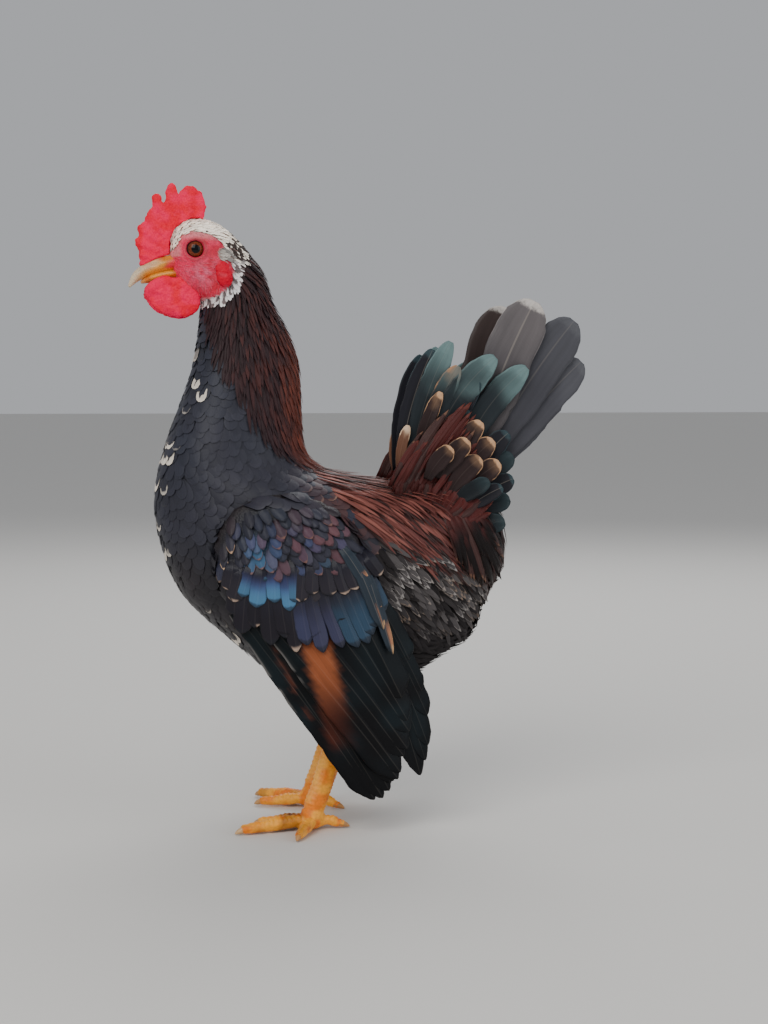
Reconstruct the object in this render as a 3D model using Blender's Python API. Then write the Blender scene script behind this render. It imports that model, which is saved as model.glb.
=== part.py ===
"""Small cock of a true bantam breed, standing with wings let down and tail up.

All sizes below are in millimetres; the meshes are made in metres.
The bird faces -X, its left side is at -Y and it stands on Z = 0.
"""
import math

import bmesh
import bpy
from mathutils import Matrix, Vector

MM = 0.001
GAP = 0.3

# Levels of the body, bottom to top: height, front x, rear x, half width.
BODY_LEVELS = (
    (51.5, -20.0, 8.0, 7.0),
    (53.5, -28.0, 17.0, 13.0),
    (58.0, -36.5, 26.0, 19.0),
    (64.0, -43.5, 34.0, 23.5),
    (71.0, -51.5, 44.5, 27.0),
    (79.0, -60.5, 49.0, 29.0),
    (88.0, -69.0, 53.0, 30.5),
    (98.0, -74.5, 58.8, 31.0),
    (108.0, -77.8, 60.5, 30.5),
    (117.0, -79.8, 60.0, 29.5),
    (123.0, -80.4, 55.0, 28.5),
    (128.0, -80.4, 42.0, 27.0),
    (131.5, -80.0, 24.0, 25.5),
    (134.5, -79.6, 8.0, 24.0),
    (138.0, -79.0, -8.0, 22.5),
    (142.0, -77.8, -16.0, 21.5),
    (145.0, -77.0, -18.8, 21.0),
)
NECK_LEVELS = (
    (145.0, -77.0, -18.8, 21.0),
    (151.0, -75.1, -19.8, 20.2),
    (158.0, -72.5, -20.4, 19.0),
    (166.0, -69.3, -20.6, 17.5),
    (175.0, -66.0, -21.2, 16.0),
    (184.0, -63.8, -22.9, 14.4),
    (193.0, -62.2, -26.8, 12.9),
    (200.0, -61.6, -30.6, 12.0),
    (204.0, -62.0, -32.4, 11.7),
)
HEAD_LEVELS = (
    (204.0, -62.0, -32.4, 11.7),
    (207.0, -66.0, -33.6, 11.4),
    (210.5, -69.6, -35.2, 11.5),
    (214.5, -71.4, -37.2, 11.8),
    (218.5, -72.0, -39.6, 11.8),
    (222.5, -72.2, -42.4, 11.3),
    (226.5, -71.8, -46.0, 10.2),
    (230.0, -70.0, -50.0, 8.2),
    (232.6, -67.2, -54.0, 5.2),
    (233.8, -64.4, -57.6, 2.2),
)
EGG = 0.22
CENTRE_SHIFT = -2.05
NECK_PLANE = 145.0
HEAD_PLANE = 204.0

EYE_X, EYE_Z = -62.5, 222.3
EYE_RADIUS = 3.5
EYE_DEPTH = 8.9
LID_Y = 11.2

WING_LIFT = 1.2
WING_HANG = 88.0
LEG_Y = 18.5
FAR_LEG_STEP = 5.0
FAR_FOOT_TURN = 37.0


def clear_scene():
    """Remove every object that the file holds."""
    for thing in list(bpy.data.objects):
        bpy.data.objects.remove(thing, do_unlink=True)


def plain_material(name, colour, roughness, metallic=0.0):
    """Make one Principled material."""
    material = bpy.data.materials.new(name)
    material.use_nodes = True
    shader = material.node_tree.nodes["Principled BSDF"]
    shader.inputs["Base Color"].default_value = (*colour, 1.0)
    shader.inputs["Roughness"].default_value = roughness
    shader.inputs["Metallic"].default_value = metallic
    return material


def link(name, mesh, material, collection):
    """Put a mesh in the scene as one named object."""
    thing = bpy.data.objects.new(name, mesh)
    collection.objects.link(thing)
    if material is not None:
        mesh.materials.clear()
        mesh.materials.append(material)
    return thing


def finish_bmesh(shape, name, material, collection):
    """Turn a bmesh into an object whose faces point out."""
    bmesh.ops.recalc_face_normals(shape, faces=shape.faces)
    mesh = bpy.data.meshes.new(name)
    shape.to_mesh(mesh)
    shape.free()
    return link(name, mesh, material, collection)


def at_level(levels, height):
    """Read front, rear and half width at a height with a smooth curve through the levels."""
    last = len(levels) - 2
    spot = 0
    while spot < last and height > levels[spot + 1][0]:
        spot += 1
    low, high = levels[spot], levels[spot + 1]
    before = levels[max(spot - 1, 0)]
    after = levels[min(spot + 2, last + 1)]
    span = high[0] - low[0]
    t = min(max((height - low[0]) / span, 0.0), 1.0)
    values = []
    for k in (1, 2, 3):
        slope_a = (high[k] - before[k]) / (high[0] - before[0]) * span
        slope_b = (after[k] - low[k]) / (after[0] - low[0]) * span
        values.append(
            (2 * t ** 3 - 3 * t ** 2 + 1) * low[k]
            + (t ** 3 - 2 * t ** 2 + t) * slope_a
            + (3 * t ** 2 - 2 * t ** 3) * high[k]
            + (t ** 3 - t ** 2) * slope_b
        )
    return values


def body_point(levels, height, turn):
    """Point of the body's skin at a height; turn 0 looks to the rear, pi to the front."""
    front, rear, half = at_level(levels, height)
    middle, reach = (front + rear) / 2, (rear - front) / 2
    x = middle + reach * math.cos(turn)
    y = half * math.sin(turn) * (1 - EGG * math.cos(turn))
    return Vector((x, y, height))


def body_half_width(x, z):
    """Half width of the trunk at a place of its side view, or a small value outside it."""
    front, rear, half = at_level(BODY_LEVELS, z)
    middle, reach = (front + rear) / 2, (rear - front) / 2
    across = min(max((x - middle) / reach, -0.985), 0.985)
    return half * math.sqrt(1 - across ** 2) * (1 - EGG * across)


def sphere_grid(columns, rings):
    """Make a closed ball and sort its vertices into rings from bottom to top."""
    shape = bmesh.new()
    bmesh.ops.create_uvsphere(shape, u_segments=columns, v_segments=rings + 1, radius=1.0)
    places = []
    for vertex in shape.verts:
        height = min(max(vertex.co.z, -1.0), 1.0)
        ring = round((1 - math.acos(height) / math.pi) * (rings + 1))
        turn = math.atan2(vertex.co.y, vertex.co.x)
        places.append((vertex, ring, turn))
    return shape, places


def loft_levels(name, levels, low, high, columns, rings, material, collection, top=None, foot=None):
    """Loft part of the body between two heights; top and foot give the end points of round ends."""
    shape, places = sphere_grid(columns, rings)
    for vertex, ring, turn in places:
        if ring == 0:
            front, rear, _ = at_level(levels, low)
            vertex.co = Vector(((front + rear) / 2, 0.0, low if foot is None else foot)) * MM
        elif ring == rings + 1:
            front, rear, _ = at_level(levels, high)
            vertex.co = Vector(((front + rear) / 2, 0.0, high if top is None else top)) * MM
        else:
            share = (ring - 1) / (rings - 1)
            height = low + (high - low) * share
            vertex.co = body_point(levels, height, turn) * MM
    bmesh.ops.triangulate(shape, faces=shape.faces)
    return finish_bmesh(shape, name, material, collection)


def tube_loft(stations, columns, collection, name="piece", material=None, across=(0.0, 1.0, 0.0)):
    """Loft along stations of centre, half width, upper and lower half height, with closed ends."""
    rings = len(stations)
    shape, places = sphere_grid(columns, rings)
    side = Vector(across).normalized()
    for vertex, ring, turn in places:
        number = min(max(ring - 1, 0), rings - 1)
        centre = Vector(stations[number][0])
        ahead = Vector(stations[min(number + 1, rings - 1)][0])
        behind = Vector(stations[max(number - 1, 0)][0])
        up = (ahead - behind).cross(side).normalized()
        if ring in (0, rings + 1):
            vertex.co = centre * MM
            continue
        _, half, upper, lower = stations[number]
        lift = math.sin(turn)
        vertex.co = (centre + side * half * math.cos(turn)
                     + up * (upper if lift > 0 else lower) * lift) * MM
    bmesh.ops.triangulate(shape, faces=shape.faces)
    return finish_bmesh(shape, name, material, collection)


def ball(centre, radius, collection, name="piece", material=None, columns=16, rings=10, scale=(1, 1, 1)):
    """Make a ball or an ellipsoid."""
    shape = bmesh.new()
    bmesh.ops.create_uvsphere(shape, u_segments=columns, v_segments=rings, radius=radius * MM)
    bmesh.ops.scale(shape, vec=Vector(scale), verts=shape.verts)
    bmesh.ops.translate(shape, vec=Vector(centre) * MM, verts=shape.verts)
    return finish_bmesh(shape, name, material, collection)


def vane(path, widths, thick, collection, place):
    """Make one feather vane.

    path holds the shaft's points in the side view, widths the half widths there,
    and place gives the depth y of a point for its share along and across the vane.
    The two faces are split into triangles alike.
    """
    count = len(path)
    shape = bmesh.new()
    bmesh.ops.create_grid(shape, x_segments=2, y_segments=count - 1, size=1.0)
    spots = {}
    for vertex in shape.verts:
        column = round(vertex.co.x) + 1
        row = round((vertex.co.y + 1) / 2 * (count - 1))
        spots[vertex] = (row, column)
    bmesh.ops.triangulate(shape, faces=shape.faces, quad_method='FIXED')
    both = bmesh.ops.duplicate(shape, geom=shape.verts[:] + shape.edges[:] + shape.faces[:])
    twin = {a: b for a, b in both["vert_map"].items() if a in spots}
    outline = [edge for edge in shape.edges if edge.is_boundary and edge.verts[0] in spots]
    pairs = [(edge.verts[0], edge.verts[1]) for edge in outline]
    for a, b in pairs:
        shape.faces.new((a, b, twin[b]))
        shape.faces.new((a, twin[b], twin[a]))
    for vertex, (row, column) in spots.items():
        x, z = path[row]
        ahead = Vector(path[min(row + 1, count - 1)])
        behind = Vector(path[max(row - 1, 0)])
        along = (ahead - behind).normalized()
        cross = Vector((-along.y, along.x))
        shift = cross * widths[row] * (column - 1)
        flat = Vector((x, z)) + shift
        depth = place(flat.x, flat.y, vane_shares(count)[row], column - 1)
        half = thick / 2 * (1.0 if row < count - 1 else 0.7)
        vertex.co = Vector((flat.x, depth - half, flat.y)) * MM
        twin[vertex].co = Vector((flat.x, depth + half, flat.y)) * MM
    return finish_bmesh(shape, "vane", None, collection)


def vane_shares(count):
    """Shares along a vane's length of its cross rows, closer at the rounded tip."""
    return [0.78 * k / (count - 3) for k in range(count - 2)] + [0.93, 1.0]


def bend_path(start, end, bow, count):
    """Points from start to end along a shallow arc; bow is its height as a share of its length."""
    a, b = Vector(start), Vector(end)
    side = Vector((-(b - a).y, (b - a).x)) * bow
    return [tuple(a.lerp(b, t) + side * 4 * t * (1 - t)) for t in vane_shares(count)]


def round_widths(half, count, root=0.55, tip=0.42):
    """Half widths of a vane: narrower root, full blade and a rounded tip."""
    values = []
    for t in vane_shares(count):
        swell = root + (1 - root) * min(t / 0.45, 1.0)
        close = 1.0 if t < 0.8 else math.sqrt(max(1 - ((t - 0.8) / 0.2) ** 2 * (1 - tip ** 2), 0.0))
        values.append(half * swell * close)
    return values


def keep_largest(thing):
    """Keep only the largest closed surface of an object."""
    shape = bmesh.new()
    shape.from_mesh(thing.data)
    shape.faces.ensure_lookup_table()
    left = set(shape.faces)
    groups = []
    while left:
        seed = left.pop()
        group, edge_of = [seed], [seed]
        while edge_of:
            face = edge_of.pop()
            for edge in face.edges:
                for other in edge.link_faces:
                    if other in left:
                        left.remove(other)
                        group.append(other)
                        edge_of.append(other)
        groups.append(group)

    def extent(group):
        points = [v.co for face in group for v in face.verts]
        size = [max(p[k] for p in points) - min(p[k] for p in points) for k in range(3)]
        return size[0] * size[1] + size[1] * size[2] + size[0] * size[2]

    groups.sort(key=extent, reverse=True)
    loose = [face for group in groups[1:] for face in group]
    bmesh.ops.delete(shape, geom=loose, context='FACES')
    shape.to_mesh(thing.data)
    shape.free()


def apply_boolean(thing, operation, solver='EXACT', other=None, group=None):
    """Apply one Boolean with an object or with a whole collection."""
    modifier = thing.modifiers.new("join", 'BOOLEAN')
    modifier.operation = operation
    modifier.solver = solver
    if group is None:
        modifier.object = other
    else:
        modifier.operand_type = 'COLLECTION'
        modifier.collection = group
    with bpy.context.temp_override(object=thing, active_object=thing):
        bpy.ops.object.modifier_apply(modifier=modifier.name)


def weld(thing, distance=0.002):
    """Merge vertices that a Boolean left closer than a hair and split faces into triangles."""
    shape = bmesh.new()
    shape.from_mesh(thing.data)
    bmesh.ops.remove_doubles(shape, verts=shape.verts, dist=distance * MM)
    bmesh.ops.dissolve_degenerate(shape, dist=distance * MM, edges=shape.edges)
    bmesh.ops.triangulate(shape, faces=shape.faces)
    shape.to_mesh(thing.data)
    shape.free()


def join_all(thing, pieces, solver='MANIFOLD'):
    """Unite an object with many closed pieces that overlap it, and remove the pieces."""
    group = bpy.data.collections.new("joined")
    bpy.context.scene.collection.children.link(group)
    for piece in pieces:
        for owner in list(piece.users_collection):
            owner.objects.unlink(piece)
        group.objects.link(piece)
    apply_boolean(thing, 'UNION', solver, group=group)
    for piece in pieces:
        bpy.data.objects.remove(piece, do_unlink=True)
    bpy.data.collections.remove(group)
    keep_largest(thing)
    weld(thing)


def swollen(thing, distance, collection):
    """Copy an object with its surface moved out by a distance."""
    shape = bmesh.new()
    shape.from_mesh(thing.data)
    shape.normal_update()
    moves = []
    for vertex in shape.verts:
        step = Vector((0, 0, 0))
        for face in vertex.link_faces:
            step += face.normal * face.calc_area()
        step.normalize()
        least = min(step.dot(face.normal) for face in vertex.link_faces)
        moves.append((vertex, step * distance * MM / max(least, 0.5)))
    for vertex, move in moves:
        vertex.co += move
    return finish_bmesh(shape, "swollen", None, collection)


def clear_of(thing, neighbours, collection, distance=GAP, solver='EXACT'):
    """Cut an object back so that it keeps a gap to each neighbour."""
    for neighbour in neighbours:
        cutter = swollen(neighbour, distance, collection)
        apply_boolean(thing, 'DIFFERENCE', solver, other=cutter)
        bpy.data.objects.remove(cutter, do_unlink=True)
    keep_largest(thing)
    weld(thing)


def mirrored(thing, name, material, collection):
    """Copy a left piece to the right side."""
    shape = bmesh.new()
    shape.from_mesh(thing.data)
    bmesh.ops.scale(shape, vec=Vector((1, -1, 1)), verts=shape.verts)
    bmesh.ops.reverse_faces(shape, faces=shape.faces)
    return finish_bmesh(shape, name, material, collection)


def wing_sheet(x, z):
    """Depth of the left wing's inner sheet at a place of its side view."""
    high = max(z, WING_HANG)
    half = max(body_half_width(x, min(high, 130.0)), 9.0)
    drop = max(WING_HANG - z, 0.0)
    return -(half + WING_LIFT + 0.02 * drop)


WING_EDGE = (
    (-59.5, 108.0), (-57.0, 117.0), (-51.0, 125.0), (-41.0, 130.0), (-29.0, 131.0),
    (-17.0, 127.5), (-8.0, 121.0), (-2.0, 112.0), (2.0, 101.0), (4.0, 90.0),
    (0.0, 83.0), (-12.0, 79.0), (-24.0, 77.5), (-36.0, 78.5), (-47.0, 83.0),
    (-54.5, 91.0), (-58.5, 99.5),
)


def wing_core(collection, material):
    """Shape the feathered arm of the left wing as a lens over its outline."""
    count = len(WING_EDGE)
    centre = Vector((-27.0, 104.0))
    shape, places = sphere_grid(26, 6)
    for vertex, ring, turn in places:
        share = (turn / (2 * math.pi) % 1.0) * count
        low = int(share) % count
        part = share - int(share)
        edge = Vector(WING_EDGE[low]).lerp(Vector(WING_EDGE[(low + 1) % count]), part)
        polar = ring / 7 * math.pi
        flat = centre.lerp(edge, math.sin(polar) ** 0.8)
        sheet = wing_sheet(flat.x, flat.y)
        depth = 3.4 - 2.9 * math.cos(polar)
        vertex.co = Vector((flat.x, sheet - depth, flat.y)) * MM
    bmesh.ops.triangulate(shape, faces=shape.faces)
    return finish_bmesh(shape, "wing_left", material, collection)


def wing_tier(roots, tips, count, half, depth_root, depth_tip, tilt, bow, thick, collection, points=5):
    """Fan vanes evenly from a line of roots to a line of tips, each lying over the next one."""
    pieces = []
    for number in range(count):
        share = number / (count - 1)
        start = along_line(roots, share)
        end = along_line(tips, share)
        path = bend_path(start, end, bow * (1 - 0.6 * share), points)
        wide = half * (0.92 + 0.16 * math.sin(number * 2.3))

        def place(x, z, t, side, lift=number * 0.004):
            sink = depth_root + (depth_tip - depth_root) * min(t / 0.3, 1.0)
            return wing_sheet(x, z) - sink - lift + tilt * side * (0.35 + 0.65 * t)

        pieces.append(vane(path, round_widths(wide, points), thick, collection, place))
    return pieces


def along_line(points, share):
    """Point at a share of the way along a line of points."""
    spot = share * (len(points) - 1)
    low = min(int(spot), len(points) - 2)
    return tuple(Vector(points[low]).lerp(Vector(points[low + 1]), spot - low))


# Comb points and the notches between them, from the front lobe to the back one.
COMB_EDGE = (
    (-83.2, 217.6), (-83.3, 221.2), (-84.9, 225.7), (-83.5, 227.3), (-83.6, 230.9),
    (-80.8, 232.5), (-80.0, 236.3), (-78.3, 237.9), (-77.9, 241.7), (-76.7, 242.7), (-75.3, 241.5),
    (-74.9, 239.5), (-73.4, 240.3), (-72.4, 246.2), (-71.0, 247.4), (-69.6, 246.2), (-69.0, 242.3),
    (-65.3, 246.3), (-62.0, 245.8),
    (-59.2, 242.6), (-58.3, 238.7), (-59.0, 235.2), (-60.0, 231.6),
)
COMB_BASE = ((-66.5, 229.8), (-69.6, 224.0), (-72.5, 217.6), (-79.5, 214.2))
COMB_HALF = 1.9

UPPER_BEAK = (
    ((-67.0, 0, 217.2), 5.4, 3.8, 3.2),
    ((-72.0, 0, 216.8), 5.2, 3.7, 3.1),
    ((-76.8, 0, 215.8), 4.3, 3.3, 3.0),
    ((-81.4, 0, 213.9), 3.1, 2.9, 2.6),
    ((-84.8, 0, 211.3), 1.9, 2.0, 1.6),
    ((-87.5, 0, 207.9), 0.45, 0.5, 0.5),
)
LOWER_BEAK = (
    ((-66.5, 0, 212.4), 4.6, 1.8, 2.4),
    ((-71.5, 0, 212.1), 4.3, 1.7, 2.3),
    ((-76.5, 0, 210.9), 3.4, 1.7, 1.8),
    ((-80.5, 0, 209.4), 2.2, 1.4, 1.2),
    ((-82.8, 0, 208.6), 0.5, 0.5, 0.5),
)

# Tail feathers of one side: root, tip, half width and distance from the middle plane.
MAIN_TAIL = (
    ((52.0, 134.0), (82.0, 169.0), 6.0, 1.6),
    ((52.0, 136.0), (90.0, 180.0), 7.0, 3.0),
    ((49.0, 138.0), (86.5, 196.0), 8.6, 4.4),
    ((45.0, 139.0), (70.0, 203.5), 9.4, 5.8),
)
TAIL_COVERTS = (
    ((42.0, 140.0), (66.6, 177.5), 6.2, 7.4),
    ((31.0, 141.0), (53.6, 181.5), 6.8, 8.8),
    ((25.0, 140.0), (39.0, 178.0), 4.6, 7.4),
    ((21.0, 139.0), (36.4, 187.5), 4.4, 6.0),
    ((17.0, 137.0), (29.5, 184.5), 4.0, 4.6),
    ((36.0, 136.0), (56.0, 158.0), 5.6, 10.4),
    ((26.0, 138.0), (42.0, 160.0), 5.4, 10.4),
    ((18.5, 137.0), (24.5, 163.0), 4.2, 9.0),
)
FAR_SIDE_TURN = (-8.0, -2.0)

TOES = (
    ((-22.0, 0.0), (-45.5, -4.5), 2.6),
    ((-20.5, -2.0), (-27.2, -16.6), 2.3),
    ((-21.0, 1.5), (-38.0, 7.5), 2.3),
    ((-17.0, 0.0), (-7.0, -0.5), 2.0),
)


def flat_outline(name, outline, half, collection):
    """Fill an outline of the side view and give it a thickness, as a closed mesh."""
    curve = bpy.data.curves.new(name, 'CURVE')
    curve.dimensions = '2D'
    curve.fill_mode = 'BOTH'
    curve.extrude = half * MM
    spline = curve.splines.new('POLY')
    spline.points.add(len(outline) - 1)
    for point, (x, z) in zip(spline.points, outline):
        point.co = (x * MM, z * MM, 0.0, 1.0)
    spline.use_cyclic_u = True
    thing = bpy.data.objects.new(name, curve)
    collection.objects.link(thing)
    bpy.context.view_layer.update()
    mesh = bpy.data.meshes.new_from_object(thing.evaluated_get(bpy.context.evaluated_depsgraph_get()))
    bpy.data.objects.remove(thing, do_unlink=True)
    shape = bmesh.new()
    shape.from_mesh(mesh)
    bmesh.ops.remove_doubles(shape, verts=shape.verts, dist=0.001 * MM)
    bmesh.ops.triangulate(shape, faces=shape.faces)
    for vertex in shape.verts:
        x, z, depth = vertex.co
        vertex.co = Vector((x, -depth, z))
    return shape


def make_comb(collection, material):
    """Make the single comb, thick at its base and thinner at its points."""
    shape = flat_outline("comb", COMB_EDGE + COMB_BASE, 1.0, collection)
    centre = Vector((-68.0, 0.0, 222.0)) * MM
    for vertex in shape.verts:
        reach = (vertex.co - centre).length / (26.0 * MM)
        vertex.co.y *= COMB_HALF * (1.15 - 0.65 * min(reach, 1.0))
    return finish_bmesh(shape, "comb", material, collection)


def make_wattle(collection, material):
    """Make the left wattle: a thick leaf with two folds, hung under the beak."""
    shape, places = sphere_grid(16, 9)
    for vertex, ring, turn in places:
        polar = ring / 10 * math.pi
        out = math.sin(polar) ** 0.9
        reach = 9.9 - 0.9 * math.cos(turn)
        x = -69.4 + out * reach * math.cos(turn)
        z = 203.2 + out * (7.0 + 0.9 * math.cos(turn)) * math.sin(turn)
        fold = 0.55 * math.sin((x + z) * 0.62) * out
        sag = 0.10 * (204.0 - z)
        y = -5.3 - sag + fold + math.cos(polar) * -1.75
        vertex.co = Vector((x, y, z)) * MM
    bmesh.ops.triangulate(shape, faces=shape.faces)
    return finish_bmesh(shape, "wattle_left", material, collection)


def make_lids(collection):
    """Make the raised rims round both eyes."""
    rims = []
    for side in (-1, 1):
        bpy.ops.mesh.primitive_torus_add(
            major_radius=3.55 * MM, minor_radius=0.8 * MM, major_segments=16, minor_segments=6,
            location=(EYE_X * MM, side * (LID_Y - 0.25) * MM, EYE_Z * MM),
            rotation=(math.pi / 2 + side * 0.10, 0, side * -0.16))
        rim = bpy.context.active_object
        with bpy.context.temp_override(object=rim, active_object=rim, selected_editable_objects=[rim]):
            bpy.ops.object.transform_apply(location=True, rotation=True, scale=True)
        rims.append(rim)
    return rims


def tail_side(side, collection):
    """Make the tail feathers of one side; side is -1 for left and 1 for right."""
    pieces = []
    rows = [(row, 6) for row in MAIN_TAIL] + [(row, 5) for row in TAIL_COVERTS]
    for number, ((root, tip, half, layer), points) in enumerate(rows):
        if side > 0:
            tip = (tip[0] + FAR_SIDE_TURN[0] * (1 if number < 4 else 0.3), tip[1] + FAR_SIDE_TURN[1])
        bow = 0.03 if number < 4 else 0.05

        def place(x, z, t, across, layer=layer, bulge=0.6):
            return side * (layer * (0.86 + 0.30 * t) - 0.45 * across + bulge * across ** 2 * 0.4)

        path = bend_path(root, tip, bow, points)
        pieces.append(vane(path, round_widths(half, points, root=0.5), 0.6, collection, place))
    return pieces


def make_tail(collection, material):
    """Make the tail: its stump with all its feathers."""
    core = ball((37.0, 0.0, 136.0), 1.0, collection, "tail", material, 24, 12, (24.0, 10.0, 12.6))
    join_all(core, tail_side(-1, collection) + tail_side(1, collection))
    return core


def make_wing(collection, material, torso):
    """Make the left wing: its arm with primaries, secondaries and two rows of coverts."""
    core = wing_core(collection, material)
    clear_of(core, [torso], collection)
    pieces = wing_tier(((-49, 90), (-20, 86)), ((-31, 49), (-20, 34.5), (-9, 21.5), (3.5, 14.0)),
                       6, 5.6, 3.0, 1.5, 0.8, 0.02, 0.55, collection)
    pieces += wing_tier(((-38, 88), (-2, 95)), ((9, 18.5), (21, 21), (24.5, 36), (22.5, 52), (16, 66)),
                        8, 5.6, 3.6, 3.9, 0.8, 0.03, 0.55, collection)
    pieces += wing_tier(((-49, 101), (-4, 107)), ((-50, 86), (-38, 78), (-20, 75), (0, 76), (7, 88)),
                        7, 5.0, 4.6, 6.1, 0.5, 0.0, 0.55, collection, 4)
    pieces += wing_tier(((-50, 112), (-8, 117)), ((-55, 101), (-38, 96), (-18, 95), (2, 103)),
                        7, 4.9, 5.4, 7.6, 0.5, 0.0, 0.55, collection, 4)
    join_all(core, pieces)
    return core


def make_foot(collection, material):
    """Make the left foot: its hub with four toes, flat on the ground."""
    hub = ball((-20.0, -LEG_Y, 5.2), 1.0, collection, "foot_left", material, 14, 8, (4.7, 4.5, 5.2))
    toes = []
    for (x0, y0), (x1, y1), thick in TOES:
        start = Vector((x0, y0 - LEG_Y, 3.4))
        end = Vector((x1, y1 - LEG_Y, thick * 0.86))
        stations = []
        for k in range(5):
            t = k / 4
            centre = start.lerp(end, t)
            centre.z += 0.9 * math.sin(math.pi * t) * (1 - t)
            knuckle = 1 + 0.09 * math.cos(4 * math.pi * t)
            wide = thick * knuckle * (1.12 - 0.26 * t)
            stations.append((tuple(centre), wide, wide, wide))
        along = (end - start).normalized()
        side = Vector((0, 0, 1)).cross(along)
        toes.append(tube_loft(stations, 8, collection, across=tuple(side)))
    for thing in toes + [hub]:
        for vertex in thing.data.vertices:
            vertex.co.z = max(vertex.co.z, 0.0)
    join_all(hub, toes)
    return hub


def make_claw(number, collection, material):
    """Make one claw of the left foot, at its toe's end."""
    (x0, y0), (x1, y1), _ = TOES[number]
    start, end = Vector((x0, y0 - LEG_Y, 0.0)), Vector((x1, y1 - LEG_Y, 0.0))
    along = (end - start).normalized()
    stations = []
    for k in range(4):
        t = k / 3
        centre = end + along * (GAP + 5.0 * t)
        centre.z = 2.15 - 1.3 * t ** 1.6
        wide = 1.4 * (1 - t) + 0.25
        stations.append((tuple(centre), wide, wide, wide))
    side = Vector((0, 0, 1)).cross(along)
    return tube_loft(stations, 8, collection, f"claw_left_{number + 1}", material, across=tuple(side))


def make_leg(collection, plumage, scale, nail, torso, side):
    """Make one leg; the right one stands a little farther back with its foot turned out."""
    step = 0.0 if side < 0 else FAR_LEG_STEP
    word = "left" if side < 0 else "right"
    thigh = tube_loft((((-2.0, -14.5, 71.0), 10.0, 15.0, 13.0), ((-4.0, -15.0, 62.0), 9.5, 13.5, 12.0),
                       ((-7.5, -17.0, 50.0), 7.4, 8.8, 8.2), ((-9.3, -18.2, 41.5), 5.2, 5.9, 5.6),
                       ((-10.2, -LEG_Y, 37.0), 4.5, 5.0, 4.8)), 18, collection, "thigh_left", plumage,
                      (0, -1, 0))
    shank = tube_loft((((-10.26, -LEG_Y, 36.7), 4.3, 4.8, 4.6), ((-11.1, -LEG_Y, 32.5), 4.1, 4.7, 4.4),
                       ((-13.6, -LEG_Y, 25.0), 3.6, 4.3, 4.0), ((-16.6, -LEG_Y, 16.0), 3.5, 4.1, 3.8),
                       ((-19.0, -LEG_Y, 9.5), 3.8, 4.3, 4.0), ((-20.0, -LEG_Y, 6.0), 3.2, 3.6, 3.4)),
                      14, collection, "shank_left", scale, (0, -1, 0))
    foot = make_foot(collection, scale)
    claws = [make_claw(number, collection, nail) for number in range(len(TOES))]
    if side > 0:
        hub = Matrix.Translation(Vector((-20.0, -LEG_Y, 0.0)) * MM)
        turn = hub @ Matrix.Rotation(math.radians(FAR_FOOT_TURN), 4, 'Z') @ hub.inverted()
        for piece in [foot] + claws:
            piece.data.transform(turn)
    clear_of(shank, [foot], collection)
    pieces = [thigh, shank, foot] + claws
    for claw in pieces[3:]:
        clear_of(claw, [foot], collection)
    for piece in pieces:
        if side > 0:
            shape = bmesh.new()
            shape.from_mesh(piece.data)
            bmesh.ops.scale(shape, vec=Vector((1, -1, 1)), verts=shape.verts)
            bmesh.ops.translate(shape, vec=Vector((step * MM, 0, 0)), verts=shape.verts)
            bmesh.ops.reverse_faces(shape, faces=shape.faces)
            shape.to_mesh(piece.data)
            shape.free()
        piece.name = piece.name.replace("left", word)
    clear_of(thigh, [torso], collection)


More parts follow.
